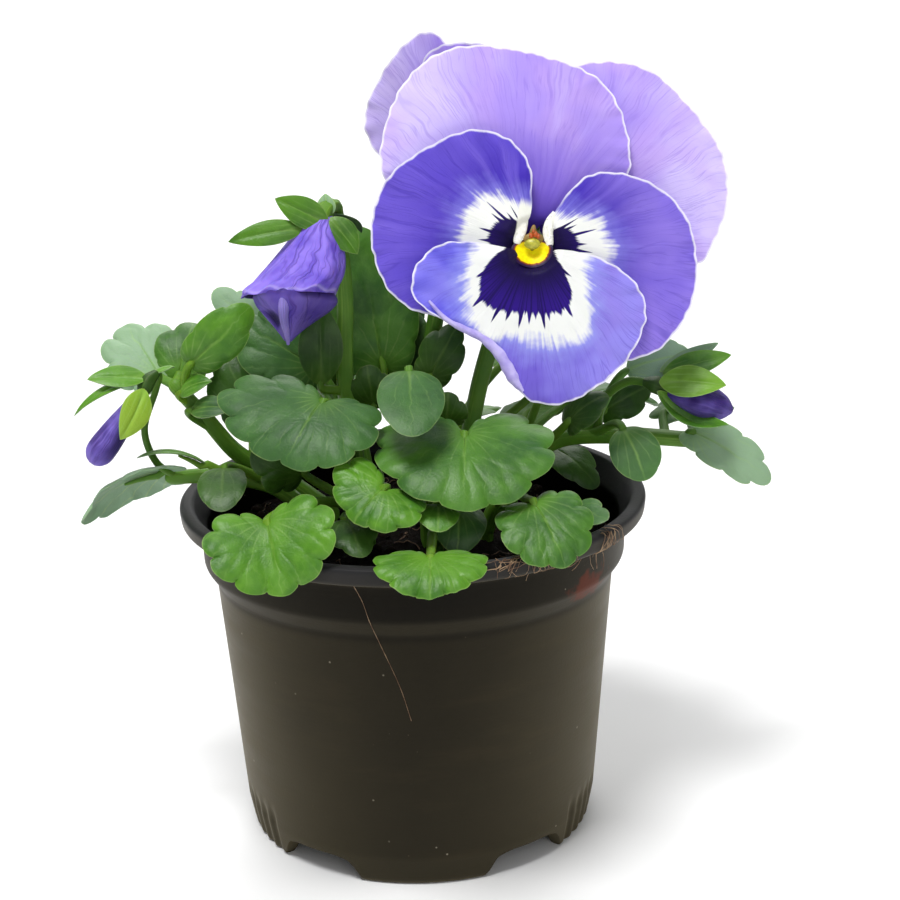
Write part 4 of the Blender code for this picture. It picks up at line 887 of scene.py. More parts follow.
def leaf_look():
    """Leaf green by the painted tone, with fine fanned veins, a waxy bloom, a thin light margin, and mottling
    that is partly painted shade and highlights.
    """
    g = Graph(
        "leaf_green", specular_ior_level=0.32, subsurface_weight=0.1, subsurface_scale=MM,
        subsurface_radius=(0.4, 0.8, 0.2),
    )
    u, v = g.flat()
    yellow, wax, light, top = g.tone()
    place = g.place()
    above = g.step(top, 0.9, 1.0)
    rim = (top - above) * 10.0
    patch = g.noise(place, 0.11, 3.0)
    mottle = g.noise(place, 0.45, 3.0)
    wander = g.noise(place, 0.33, 2.0) - 0.5
    reach = v * VEIN_SPAN
    veins = (u - 0.5) * VEIN_SPAN + wander * 0.7 * g.step(reach, 2.0, 9.0)
    gap = reach * VEIN_STEP
    main = g.step(g.math("PINGPONG", veins, 0.5) * gap, 0.24, 0.05) * g.step(reach, 1.0, 4.0)
    forks = g.step(g.math("PINGPONG", veins + 0.5 + wander, 0.5) * gap, 0.2, 0.04) * g.step(reach, 6.0, 11.0)
    rib = g.step(g.math("ABSOLUTE", veins) * gap, 0.55, 0.1) * g.step(reach, 14.0, 5.0)
    near = g.step(reach, 6.0, 0.0)
    faint = g.step(g.noise(place, 0.25, 2.0), 0.35, 0.65)
    green = g.mix(yellow, srgb(38, 82, 30), srgb(86, 140, 26))
    green = g.layered(
        green,
        # dark patches: partly the leaf's own mottling, partly painted shade
        (g.step(patch, 0.38, 0.66) * 0.8, g.mix(yellow, srgb(20, 52, 18), srgb(46, 98, 18))),
        # light mottling: painted soft highlights
        (g.step(mottle, 0.4, 0.75) * 0.35, g.mix(yellow, srgb(66, 112, 58), srgb(112, 162, 54))),
        (wax * (0.25 + patch * 0.5), (88, 128, 84)),
        (g.step(wax, 0.7, 0.95) * (0.45 + patch * 0.4), (150, 178, 146)),
        (g.step(light, 0.56, 0.64) * yellow * 0.8, (134, 162, 48)),
        (near * 0.35, (104, 152, 44)),
        (g.math("MAXIMUM", main, forks * 0.6) * (faint * 0.16 + near * 0.3), (150, 182, 104)),
        (rib * 0.3, (140, 180, 84)),
        (g.step(rim, 0.22, 0.04) * (0.12 + faint * 0.25), (168, 186, 112)),
    )
    under = g.mix(patch, srgb(88, 122, 76), srgb(116, 146, 98))
    under = g.mix(wax * 0.7, under, srgb(134, 162, 138))
    under = g.mix(g.math("MAXIMUM", rib, main) * 0.5, under, srgb(156, 178, 124))
    colour = g.mix(above, under, green)
    roughness = 0.34 + patch * 0.16 + wax * 0.12
    g.bump(mottle * 0.5 + g.cells(place, 1.3) * 0.5 + g.noise(place, 3.2, 2.0) * 0.3, 0.09)
    # The tone's lightness scales the colour, and so carries the painted light and shade of some leaves' tones
    return g.set(base_color=g.scaled(colour, light * 2.0), roughness=roughness)


def stem_look():
    g = Graph("stem_green", specular_ior_level=0.28, subsurface_weight=0.1, subsurface_scale=MM)
    place = g.place()
    yellow, wax, light, _ = g.tone()
    patch = g.noise(place, 0.16, 3.0)
    streak = g.noise_at(g.flat()[0] * 30.0, g.flat()[1] * 1.2)
    green = g.mix(yellow, srgb(46, 98, 18), srgb(118, 162, 40))
    green = g.layered(
        green,
        (g.step(patch, 0.3, 0.75) * 0.5, (58, 108, 22)),
        (g.step(streak, 0.5, 0.75) * 0.35, (146, 182, 74)),
        (wax * 0.4, (100, 142, 84)),
    )
    g.bump(streak, 0.08)
    return g.set(base_color=g.scaled(green, light * 2.0), roughness=0.42 + patch * 0.15)


def petal_start(name):
    """A petal's node tree with the flat place in millimetres, its distance and its angle."""
    g = Graph(
        name, specular_ior_level=0.15, sheen_weight=0.03, sheen_roughness=0.5, subsurface_weight=0.2,
        subsurface_scale=MM, subsurface_radius=(0.8, 0.7, 1.0),
    )
    u, v = g.flat()
    x = (u - 0.5) * FLAT_SPAN
    y = (v - 0.5) * FLAT_SPAN
    reach = g.math("SQRT", x * x + y * y)
    turn = g.math("ARCTAN2", x, y) * (180 / math.pi)
    return g, x, y, reach, turn


def petal_veins(g, x, y, reach, turn, seed):
    """Faint branching veins that wander out from the throat, and soft streaks beside them."""
    drift = g.noise_at(x * 0.1, y * 0.1, seed + 3.0) - 0.5
    fan = turn * 0.3 + drift * 2.4
    field = g.noise_at(fan, reach * 0.035, seed, detail=1.0)
    lines = g.step(g.math("ABSOLUTE", field - 0.5), 0.024, 0.0)
    finer = g.noise_at(fan * 2.1, reach * 0.07, seed + 9.0, detail=1.0)
    twigs = g.step(g.math("ABSOLUTE", finer - 0.5), 0.028, 0.0) * g.step(reach, 9.0, 16.0)
    faint = g.step(g.noise_at(x * 0.25, y * 0.25, seed + 5.0, detail=1.0), 0.3, 0.65)
    streak = g.noise_at(fan * 0.45, reach * 0.05, seed + 6.0, detail=1.0)
    return g.math("MAXIMUM", lines, twigs * 0.6) * (0.35 + faint * 0.65), streak


def petal_finish(g, colour, streak, veins, reach, white=0.5):
    """White margin away from the claw, fine relief, and the roughness. white is how wide it is, in mm."""
    rim = g.tone()[0] * 10.0
    place = g.place()
    wander = g.noise(place, 0.6, 2.0) - 0.5
    margin = g.step(rim + wander * 0.4, white, white * 0.3) * g.step(reach, 6.0, 12.0)
    colour = g.mix(margin * 0.85, colour, srgb(240, 236, 251))
    g.bump(streak * 0.5 - veins * 0.2 + g.noise(place, 0.8, 2.0) * 0.4, 0.12)
    return g.set(base_color=colour, roughness=0.5 + streak * 0.15)


def upper_petal_look(name, seed, pale_from, pale_to):
    """Lilac that pales towards one side, between two places across it, and deepens to the throat."""
    g, x, y, reach, turn = petal_start(name)
    veins, streak = petal_veins(g, x, y, reach, turn, seed)
    cloud = g.noise_at(x * 0.07, y * 0.07, seed) - 0.5
    paler = g.step(x + cloud * 26.0 + (streak - 0.5) * 9.0, pale_from, pale_to)
    colour = g.mix(paler, srgb(168, 144, 232), srgb(208, 194, 247))
    warm = g.noise_at(x * 0.09, y * 0.09, seed + 8.0)
    colour = g.layered(
        colour,
        (g.step(warm, 0.42, 0.68) * 0.6, (190, 162, 232)),
        (g.step(streak, 0.45, 0.8) * 0.3, (196, 182, 246)),
        (veins * 0.34, (126, 98, 206)),
    )
    deep = g.step(reach + (streak - 0.5) * 10.0, 26.0, 7.0)
    colour = g.mix(deep * 0.85, colour, srgb(106, 80, 198))
    colour = g.mix(g.step(reach, 11.0, 3.0), colour, srgb(58, 34, 142))
    return petal_finish(g, colour, streak, veins, reach)


# Half the width of a pointed ray in degrees, and the reach that a curve's full height stands for
RAY_HALF = 2.0
FAN_SPAN = 20.0


def spiked(base, rays):
    """Points of a curve over the base's own span of angles, with narrow pointed rays standing on it."""
    turns, reaches = zip(*base)
    points = dict(base)
    for turn, reach in rays:
        for side in (turn - RAY_HALF, turn + RAY_HALF):
            points[side] = float(np.interp(side, turns, reaches))
        points[turn] = reach
    low, high = turns[0], turns[-1]
    return [((turn - low) / (high - low), reach / FAN_SPAN) for turn, reach in sorted(points.items())]


def marking(g, angle, base, rays=()):
    """How far a marking reaches, in millimetres, at each angle: a base curve with rays."""
    share = g.math("ADD", (angle - base[0][0]) / (base[-1][0] - base[0][0]), 0.0, clamp=True)
    return g.curve(share, spiked(base, rays), "VECTOR" if rays else "AUTO") * FAN_SPAN


# Markings of each side petal: reach of the white zone and of the dark blotch by the angle from
# straight up, the blotch's rays, and the white band beside the throat from its low to its high end
SIDE_MARKS = {
    "left": {
        "white": [(0, 6.0), (12, 7.0), (26, 9.0), (45, 12.3), (62, 13.4), (78, 12.6), (95, 12.0), (130, 9.0)],
        "dark": [(0, 2.5), (26, 3.0), (34, 5.2), (45, 6.7), (60, 7.8), (84, 8.3), (94, 7.0), (130, 5.0)],
        "rays": [(30, 8.3), (39, 7.4), (47, 11.6), (53, 9.4), (72, 10.4), (84, 9.8)],
        "band": ((-2.9, 0.5), (-1.0, 6.2)),
    },
    "right": {
        "white": [(20, 6.0), (38, 6.8), (55, 8.8), (70, 11.6), (86, 13.6), (100, 14.0), (130, 10.0)],
        "dark": [(20, 2.5), (46, 3.2), (55, 5.0), (62, 6.4), (72, 7.3), (88, 8.2), (100, 8.0), (110, 5.0),
                 (130, 4.0)],
        "rays": [(60, 9.4), (66, 8.4), (77, 12.0), (90, 9.6), (98, 10.9)],
        "band": ((2.7, -0.7), (2.4, 5.2)),
    },
}


def fringed_zone(g, x, y, reach, angle, limit, seed):
    """A white zone's share of the colour, with a drifting, softly streaked edge, and its hazy border."""
    drift = g.noise_at(x * 0.3, y * 0.3, seed, detail=3.0) - 0.5
    comb = g.noise_at(angle * 0.4, reach * 0.05, seed + 4.0, detail=3.0) - 0.5
    depth = limit + drift * 5.0 + comb * 5.0 - reach
    return g.step(depth, -1.3, 1.3), g.step(depth, -5.5, 0.5)


def dark_zone(g, reach, angle, limit, seed):
    """A dark marking's share of the colour, with fine teeth on its edge, and its streaked indigo."""
    teeth = g.noise_at(angle * 0.9, reach * 0.12, seed) - 0.5
    share = g.step(limit + teeth * 1.5 - reach, -0.25, 0.4)
    lines = g.noise_at(angle * 0.5, reach * 0.02, seed + 2.0)
    indigo = g.mix(g.step(reach, 4.0, 12.0), srgb(14, 0, 54), srgb(42, 12, 126))
    return share, g.mix(g.step(lines, 0.48, 0.6) * 0.65, indigo, srgb(16, 0, 66))


def side_petal_look(name, seed, side):
    """Blue-violet with a white zone and a dark blotch whose rays point outwards."""
    g, x, y, reach, turn = petal_start(name)
    veins, streak = petal_veins(g, x, y, reach, turn, seed)
    marks = SIDE_MARKS[side]
    angle = 0.0 - turn if side == "left" else turn
    outward = g.step(reach + (streak - 0.5) * 8.0, 9.0, 26.0)
    cloud = g.noise_at(x * 0.09, y * 0.09, seed)
    pale = srgb(110, 90, 206) if side == "left" else srgb(146, 124, 222)
    colour = g.mix(outward * 0.9, srgb(62, 40, 170), pale)
    colour = g.layered(
        colour,
        (g.step(cloud, 0.42, 0.68) * 0.4, (84, 64, 194)),
        (g.step(streak, 0.5, 0.8) * 0.3, (140, 120, 228)),
        (veins * 0.38, (62, 40, 164)),
    )
    white, haze = fringed_zone(g, x, y, reach, angle, marking(g, angle, marks["white"]), seed)
    colour = g.mix(haze * 0.55, colour, srgb(150, 148, 236))
    colour = g.mix(white, colour, srgb(240, 241, 238))
    share, indigo = dark_zone(g, reach, angle, marking(g, angle, marks["dark"], marks["rays"]), seed)
    colour = g.mix(share, colour, indigo)
    (low_x, low_y), (high_x, high_y) = marks["band"]
    size = math.hypot(high_x - low_x, high_y - low_y)
    ux, uy = (high_x - low_x) / size, (high_y - low_y) / size
    across = g.math("ABSOLUTE", (x - low_x) * uy - (y - low_y) * ux)
    along = (x - low_x) * ux + (y - low_y) * uy
    band = g.step(across - along * 0.16, 0.7, 0.4) * g.step(along, -0.9, -0.2)
    band = band * g.step(along, size + 2.0, size)
    colour = g.mix(band, colour, srgb(240, 240, 230))
    return petal_finish(g, colour, streak, veins, reach)


# The lip's markings by the angle from straight down, positive to the viewer's right
FAN = [
    (-90, 4.4), (-80, 5.6), (-70, 8.2), (-60, 10.8), (-45, 13.3), (-30, 13.2), (-14, 12.3), (0, 12.0),
    (14, 12.6), (30, 12.8), (38, 11.4), (46, 8.2), (58, 5.3), (72, 4.1), (90, 3.4),
]
FAN_RAYS = [
    (-61, 11.7), (-45, 15.6), (-38, 13.6), (-29, 15.8), (-20, 14.4), (-10, 15.0), (-3, 13.9), (2, 13.3),
    (8, 15.4), (13, 13.8), (22, 13.5), (29, 15.1), (50, 9.0),
]
LIP_WHITE = [
    (-90, 9.8), (-70, 12.6), (-57, 14.6), (-41, 17.0), (-25, 18.6), (-12, 16.4), (8, 17.4), (27, 18.6),
    (44, 14.2), (59, 11.5), (90, 9.2),
]


def lip_look():
    """The lip: a dark fan with pointed rays, a white zone round it and blue-violet lobes."""
    g, x, y, reach, turn = petal_start("lip_violet")
    veins, streak = petal_veins(g, x, y, reach, turn, 5.0)
    angle = g.math("ARCTAN2", x, 0.0 - y) * (180 / math.pi)
    cloud = g.noise_at(x * 0.1, y * 0.1, 2.0)
    left = g.step(x + (streak - 0.5) * 8.0, -3.0, -14.0)
    right = g.step(x + (streak - 0.5) * 8.0, 6.0, 15.0)
    colour = g.mix(left, srgb(118, 100, 212), srgb(98, 92, 216))
    colour = g.layered(
        colour,
        (right * 0.8, (152, 138, 232)),
        (g.step(cloud, 0.42, 0.66) * 0.6, (148, 142, 238)),
        (veins * 0.4, (84, 64, 190)),
    )
    white, haze = fringed_zone(g, x, y, reach, angle, marking(g, angle, LIP_WHITE), 7.0)
    colour = g.mix(haze * 0.75, colour, srgb(156, 162, 240))
    colour = g.mix(white, colour, srgb(240, 241, 240))
    share, indigo = dark_zone(g, reach, angle, marking(g, angle, FAN, FAN_RAYS), 3.0)
    return petal_finish(g, g.mix(share, colour, indigo), streak, veins, reach)


def eye_look():
    """The eye: bright yellow with faint rays, and a red-brown fringe that ends in the fan's indigo."""
    g = Graph("eye_yellow", specular_ior_level=0.3, subsurface_weight=0.1, subsurface_scale=MM)
    share, angle, _, _ = g.tone()
    place = g.place()
    fine = g.noise(place, 1.1, 3.0)
    teeth = g.noise_at(angle * 34.0, share * 0.8) - 0.5
    out = share + teeth * 0.14
    colour = g.mix(g.step(fine, 0.35, 0.7), srgb(255, 240, 2), srgb(250, 222, 2))
    colour = g.layered(
        colour,
        (g.step(out, 0.8, 0.94) * 0.3, (244, 190, 4)),
        (g.step(out, 0.9, 0.97), (128, 52, 14)),
        (g.step(out, 0.98, 1.06), (34, 6, 60)),
    )
    g.bump(fine + teeth, 0.08)
    return g.set(base_color=colour, roughness=0.42 + fine * 0.15)


def bud_look(name, light, dark, veined):
    """A bud's petals: light and dark by the painted shade, with dark veins that branch down from the top."""
    g = Graph(
        name, specular_ior_level=0.2, sheen_weight=0.03, sheen_roughness=0.5, subsurface_weight=0.12,
        subsurface_scale=MM,
    )
    u, v = g.flat()
    shade, edge, _, _ = g.tone()
    place = g.place()
    drift = g.noise(place, 0.22, 2.0) - 0.5
    streak = g.noise_at(u * 22.0 + drift * 2.0, v * 1.6, 1.0)
    field = g.noise_at(u * 12.0 + drift * 1.6, v * 0.8, 5.0, detail=1.0)
    finer = g.noise_at(u * 26.0 + drift * 3.0, v * 1.6, 9.0, detail=1.0)
    veins = g.step(g.math("ABSOLUTE", field - 0.5), 0.04, 0.0)
    twigs = g.step(g.math("ABSOLUTE", finer - 0.5), 0.035, 0.0) * g.step(v, 0.25, 0.5)
    veins = g.math("MAXIMUM", veins, twigs * 0.6)
    cloud = g.noise(place, 0.2, 2.0)
    colour = g.mix(g.step(cloud, 0.35, 0.7), light, dark)
    colour = g.layered(
        colour,
        (g.step(streak, 0.45, 0.8) * 0.35, (164, 142, 234)),
        (veins * veined * g.step(v, 1.0, 0.6), (76, 48, 158)),
        (shade, (28, 6, 78)),
        (edge, (222, 214, 244)),
    )
    g.bump(streak * 0.8 - veins * 0.6, 0.16)
    return g.set(base_color=colour, roughness=0.48 + streak * 0.15)


def plastic_look():
    """Dark moulded plastic with faint turning marks, dust and a few pale specks, with painted light: a
    reflection at grazing angles, shade inside and under the rim, and a highlight on the rim's top.
    """
    g = Graph("pot_plastic", specular_ior_level=0.07)
    place = g.place()
    px, py, pz = g.split(place)
    cloud = g.noise(place, 0.035, 3.0)
    smear = g.noise_at(px * 0.05, py * 0.05, pz * 0.25, detail=3.0)
    rings = g.noise_at(px * 0.01, py * 0.01, pz * 2.2)
    colour = g.mix(g.step(cloud, 0.3, 0.75), srgb(14, 12, 8), srgb(24, 21, 14))
    colour = g.mix(g.step(smear, 0.5, 0.85) * 0.3, colour, srgb(50, 42, 28))
    # Painted reflection: edges seen at grazing angles turn pale beige, as the white surroundings would
    # reflect in dusty plastic
    grazing_reflection = g.node("ShaderNodeLayerWeight", {"Blend": 0.3})
    edge = Value(g, grazing_reflection.outputs["Facing"])
    colour = g.mix(edge * g.step(pz, 67.0, 66.0) * 0.8, colour, srgb(126, 116, 88))
    ax, ay = px - POT_AT[0], py - POT_AT[1]
    from_axis = g.math("SQRT", ax * ax + ay * ay)
    # inner: the inside wall above the soil, painted near-black as shade
    inner = g.step(from_axis - g.step(pz, 62.6, 66.6) * 2.6, 40.5, 40.1) * g.step(pz, 56.2, 57.2)
    colour = g.layered(
        colour,
        (inner, (5, 5, 4)),
        # painted shadow under the rim, over the collar and the shoulder below it
        (g.step(pz, 50.2, 52.8) * g.step(pz, 64.2, 62.5) * 0.62, (8, 7, 5)),
        # painted highlight along the rim's top
        (g.step(pz, 62.5, 64.0) * 0.6, (52, 52, 54)),
    )
    red_x, red_z = (ax - 31.5) * 0.2, (pz - 56.0) * 0.27
    off = g.math("SQRT", red_x * red_x + red_z * red_z) + g.noise(place, 0.45, 3.0) * 1.6
    colour = g.mix(g.step(off, 1.7, 1.2) * g.step(ay, 0.0, -8.0) * 0.75, colour, srgb(98, 42, 22))
    specks = g.step(g.cells(place, 0.24, "F1"), 0.065, 0.03)
    chosen = g.step(g.noise(place, 0.09, 1.0), 0.48, 0.54)
    colour = g.mix(specks * chosen * 0.7, colour, srgb(150, 142, 124))
    grit = g.step(g.cells(place, 0.6, "F1"), 0.09, 0.05) * g.step(g.noise(place, 0.12, 2.0), 0.55, 0.7)
    colour = g.mix(grit * 0.4, colour, srgb(104, 90, 70))
    g.bump(g.noise(place, 1.8, 2.0) * 0.5 + rings * 0.5, 0.05)
    return g.set(base_color=colour, roughness=0.34 + smear * 0.2)


def soil_look(name, dark, light):
    g = Graph(name, specular_ior_level=0.12)
    place = g.place()
    patch = g.noise(place, 0.5, 4.0)
    fine = g.noise(place, 2.4, 4.0, 0.7)
    colour = g.mix(g.step(patch, 0.3, 0.75), dark, light)
    colour = g.mix(g.step(fine, 0.6, 0.8) * 0.3, colour, srgb(70, 50, 34))
    g.bump(fine + patch, 0.5)
    return g.set(base_color=colour, roughness=0.82 + fine * 0.15)


def plain_look(name, colour, second, scale, roughness, depth=0.05, **constants):
    """Two close colours in fine noise, for the small pieces."""
    g = Graph(name, **constants)
    place = g.place()
    fine = g.noise(place, scale, 3.0)
    g.bump(fine, depth)
    return g.set(base_color=g.mix(g.step(fine, 0.3, 0.7), colour, second), roughness=roughness + fine * 0.1)


def soften(profile, radius, steps=4):
    """A profile with each corner rounded."""
    p = np.asarray(profile, float)
    out = [p[0]]
    for before, here, after in zip(p, p[1:], p[2:]):
        pull = [
            here + (end - here) * min(radius / np.linalg.norm(end - here), 0.45)
            for end in (before, after)
        ]
        for t in np.linspace(0, 1, steps + 1):
            out.append((1 - t) ** 2 * pull[0] + 2 * t * (1 - t) * here + t * t * pull[1])
    out.append(p[-1])
    return np.array(out)


def divided(profile, step):
    """A profile with extra points, so that no piece of it is longer than step."""
    out = []
    for a, b in zip(profile, profile[1:]):
        count = max(1, int(math.ceil(np.linalg.norm(b - a) / step)))
        out += [a + (b - a) * i / count for i in range(count)]
    return np.array(out + [profile[-1]])


def turned(profile, turns, shift):
    """A closed turned solid whose profile starts and ends on the axis. shift moves its points."""
    rows, n = len(profile) - 2, len(turns)
    radius, turn = np.meshgrid(profile[1:-1, 0], turns, indexing="ij")
    radius, height = shift(radius, turn, np.repeat(profile[1:-1, 1:], n, axis=1))
    verts = np.stack([radius * np.cos(turn), radius * np.sin(turn), height], axis=-1).reshape(-1, 3)
    verts = np.vstack([verts, (0, 0, profile[0, 1]), (0, 0, profile[-1, 1])])
    return Shape(verts, ring_quads(rows, n), end_fans(rows, n))


def pot_profile():
    """The pot's section, from the axis under its floor, over the rim and back to the axis inside."""
    shoulder = RIM_HEIGHT - LIP_DEPTH - 1.2
    return [
        (0, FLOOR_UNDER), (FOOT_INNER_RADIUS, FLOOR_UNDER), (FOOT_INNER_RADIUS + 0.3, 0.0),
        (BASE_RADIUS, 0.0), (BASE_RADIUS + 0.6, 0.6), (WALL_FOOT_RADIUS, WALL_FOOT),
        (WALL_TOP_RADIUS, WALL_TOP), (COLLAR_RADIUS, COLLAR_BOTTOM), (COLLAR_RADIUS + 0.2, shoulder),
        (RIM_RADIUS - 0.3, RIM_HEIGHT - LIP_DEPTH), (RIM_RADIUS, RIM_HEIGHT - 0.5),
        (RIM_RADIUS - 0.5, RIM_HEIGHT), (RIM_RADIUS - FLANGE_WIDTH, RIM_HEIGHT),
        (COLLAR_RADIUS - WALL, shoulder), (COLLAR_RADIUS - WALL, COLLAR_BOTTOM + 0.4),
        (WALL_TOP_RADIUS - WALL, WALL_TOP), (WALL_FOOT_RADIUS - WALL, WALL_FOOT),
        (WALL_FOOT_RADIUS - WALL, FLOOR_TOP), (0, FLOOR_TOP),
    ]


def fluted(radius, turn, height):
    """The pot's points with the flutes at its feet and a slightly bent wall."""
    bearing = off_angle(np.degrees(turn), FRONT_TURN)
    foot = off_angle(bearing, 0, FOOT_PITCH)
    ridged = (np.abs(bearing) > 45) & (np.abs(foot) < 20) & (radius > FOOT_INNER_RADIUS + 1.5)
    wave = 0.5 + 0.5 * np.cos(2 * math.pi * foot / FLUTE_STEP)
    fade = smooth(height, FLUTE_TOP, FLUTE_TOP - 2.0) * smooth(np.abs(foot), 19.5, 17.5)
    radius = radius - ridged * FLUTE_DEPTH * wave * fade
    bent = 0.12 * np.sin(2 * turn + 0.6) * smooth(height, 20, 67)
    return radius + bent * (radius > 10), height


# Half of a drain notch's outline, as shares of its half angle and of its height
NOTCH_HALF = [(-1.0, -1.0), (-1.0, 0.0), (-0.72, 0.86), (-0.45, 1.0)]


def notch_block(middle):
    """A block that cuts one drain notch, with its middle at an angle in degrees."""
    ring = np.array(NOTCH_HALF + [(-x, y) for x, y in NOTCH_HALF[::-1]])
    ring = soften(np.vstack([ring, ring[:1]]), 0.12)[:-1]
    angles = np.radians(middle + ring[:, 0] * NOTCH_HALF_ANGLE)
    n = len(ring)
    verts = [
        np.column_stack([radius * np.cos(angles), radius * np.sin(angles), ring[:, 1] * NOTCH_RISE])
        for radius in (NOTCH_INNER_RADIUS, RIM_RADIUS)
    ]
    faces = [(i, n + i, n + (i + 1) % n, (i + 1) % n) for i in range(n)]
    faces += [tuple(range(n)), tuple(range(2 * n - 1, n - 1, -1))]
    mesh = bpy.data.meshes.new("notch")
    mesh.from_pydata(((np.vstack(verts) + POT_AT) * MM).tolist(), [], faces)
    mesh.validate()
    return bpy.data.objects.new("notch", mesh)


def make_pot(look):
    """The pot, turned in one piece, with the drain notches cut out of its foot."""
    profile = divided(soften(pot_profile(), 0.7), 1.6)
    shape = turned(profile, np.radians(np.arange(0, 360, 0.6)), fluted)
    pot = add_piece("pot_moulded", shape, look, "pot_plastic", ["pot"], sharp=POT_SHARP)
    cutters = bpy.data.collections.new("cutters")
    bpy.context.scene.collection.children.link(cutters)
    for k in range(FEET):
        cutters.objects.link(notch_block(FRONT_TURN + FOOT_PITCH * (k + 0.5)))
    cut = pot.modifiers.new("notches", "BOOLEAN")
    cut.operation = "DIFFERENCE"
    cut.solver = "MANIFOLD"
    cut.operand_type = "COLLECTION"
    cut.collection = cutters
    graph = bpy.context.evaluated_depsgraph_get()
    mesh = bpy.data.meshes.new_from_object(pot.evaluated_get(graph))
    pot.modifiers.clear()
    pot.data = mesh
    for cutter in list(cutters.objects):
        bpy.data.objects.remove(cutter)
    bpy.data.collections.remove(cutters)
    mesh.shade_smooth()
    mesh.set_sharp_from_angle(angle=math.radians(POT_SHARP))


def soil_height(x, y):
    """Top of the soil: the part's own waves with crumbs and hollows on them."""
    wave = np.sin(0.31 * x + 1.3) * np.cos(0.27 * y) + 0.6 * np.sin(0.55 * y - 0.42 * x)
    fall = np.interp(np.hypot(x, y), [0, 12, 25, 34, 39.5], [0.8, 0.6, 0, -0.4, -1.5])
    places = columns(x, y, 0.0)
    return SOIL_TOP + fall + SOIL_BUMP * wave + 0.9 * rough(places, 0.22) + 0.5 * rough(places, 0.9)


def on_soil(x, y):
    """The soil's height at one place."""
    return soil_height(np.array([x]), np.array([y]))[0]


def somewhere(radius, dice):
    """A random place within a circle."""
    reach = radius * math.sqrt(dice.random())
    turn = dice.random() * 2 * math.pi
    return np.array([reach * math.cos(turn), reach * math.sin(turn)])


def soil_fill(edge):
    """The soil: a skirt up the pot's wall, then rings that run in over its uneven top."""
    turns = whole_turn(SOIL_SIDES)
    inside = WALL + SEAT_GAP
    skirt = [
        (WALL_FOOT_RADIUS - inside, FLOOR_TOP + SEAT_GAP), (WALL_FOOT_RADIUS - inside, WALL_FOOT),
        (WALL_TOP_RADIUS - inside, WALL_TOP), (edge, COLLAR_BOTTOM + 1.2),
    ]
    rings = [columns(radius * np.cos(turns), radius * np.sin(turns), height) for radius, height in skirt]
    for radius in edge * (1 - np.linspace(0, 1, SOIL_RINGS + 1)[:-1]):
        x, y = radius * np.cos(turns), radius * np.sin(turns)
        rings.append(np.column_stack([x, y, soil_height(x, y)]))
    verts = np.vstack([*rings, (0, 0, FLOOR_TOP + SEAT_GAP), (0, 0, on_soil(0.0, 0.0))])
    return Shape(verts, ring_quads(len(rings), SOIL_SIDES), end_fans(len(rings), SOIL_SIDES))


def soil_crumbs(edge, dice):
    """Crumbs strewn over the soil: balls with a rough surface, flattened and turned at random."""
    ball = bmesh.new()
    bmesh.ops.create_icosphere(ball, subdivisions=2, radius=1.0)
    points = np.array([v.co for v in ball.verts])
    faces = np.array([[v.index for v in f.verts] for f in ball.faces])
    ball.free()
    crumbs = []
    for _ in range(CRUMBS):
        x, y = somewhere(edge - 1.2, dice)
        size = 0.35 + 1.1 * dice.random() ** 2.2
        lump = points * (1 + 0.35 * rough(points + dice.random(3) * 40, 0.9, 2))[:, None]
        spin = Matrix.Rotation(dice.random() * 6.28, 3, Vector(unit(dice.normal(size=3))))
        stretch = np.array([1.0, 0.55 + 0.4 * dice.random(), 0.45 + 0.4 * dice.random()]) * size
        lump = (lump * stretch) @ np.array(spin) + (x, y, on_soil(x, y) + size * 0.15)
        crumbs.append(Shape(lump, (), faces))
    return joined(crumbs)


def soil_fibres(edge, dice):
    """Fine dry roots that wander over the soil."""
    fibres = []
    for _ in range(FIBRES):
        place = somewhere(edge - 3, dice)
        heading = dice.random() * 6.28
        path = []
        for _ in range(7):
            heading += dice.normal() * 0.5
            place = place + 0.9 * np.array([math.cos(heading), math.sin(heading)])
            if np.hypot(*place) > edge - 1:
                place *= (edge - 1.2) / np.hypot(*place)
            path.append((*place, on_soil(*place) + 0.15 + 0.3 * dice.random()))
        fibres.append(tube(smooth_path(path, 3), 0.09 + 0.08 * dice.random(), 5))
    return joined(fibres)


def make_soil(look, crumb_look, fibre_look):
    edge = COLLAR_RADIUS - WALL - 2 * SEAT_GAP
    dice = np.random.default_rng(41)
    add_piece("potting_soil", soil_fill(edge), look, "soil", ["soil"], sharp=80)
    add_piece("soil_crumbs", soil_crumbs(edge, dice), crumb_look, "soil", sharp=180)
    add_piece("soil_fibres", soil_fibres(edge, dice), fibre_look, "soil")


# The pot's outside from the middle of its rim down its wall, as radius and height
OVER_RIM = np.array([
    (42.6, 67.4), (44.8, 67.3), (45.15, 66.6), (44.9, 64.2), (41.6, 63.0), (41.05, 56.2), (38.8, 52.4),
    (35.3, 6.0),
])

# Rootlets over the rim: how many, the bearings that they lie between, and the longest one
ROOTLETS = [(60, 18, 40, 2.5), (16, 49, 57, 12.0), (6, 28, 40, 9.0)]

# The long thread on the pot's front, as bearings and ways over the rim
LONG_THREAD = [(-14, 6.5), (-13, 12), (-11.5, 16), (-9.5, 22), (-5, 30), (-2.2, 37)]


def on_outside(bearing, way):
    """The place on the pot's outside at a bearing from the front, way millimetres over the rim."""
    radius, height = (np.interp(way, ways(OVER_RIM), column) for column in OVER_RIM.T)
    turn = math.radians(bearing)
    return radius * math.sin(turn), -radius * math.cos(turn), height


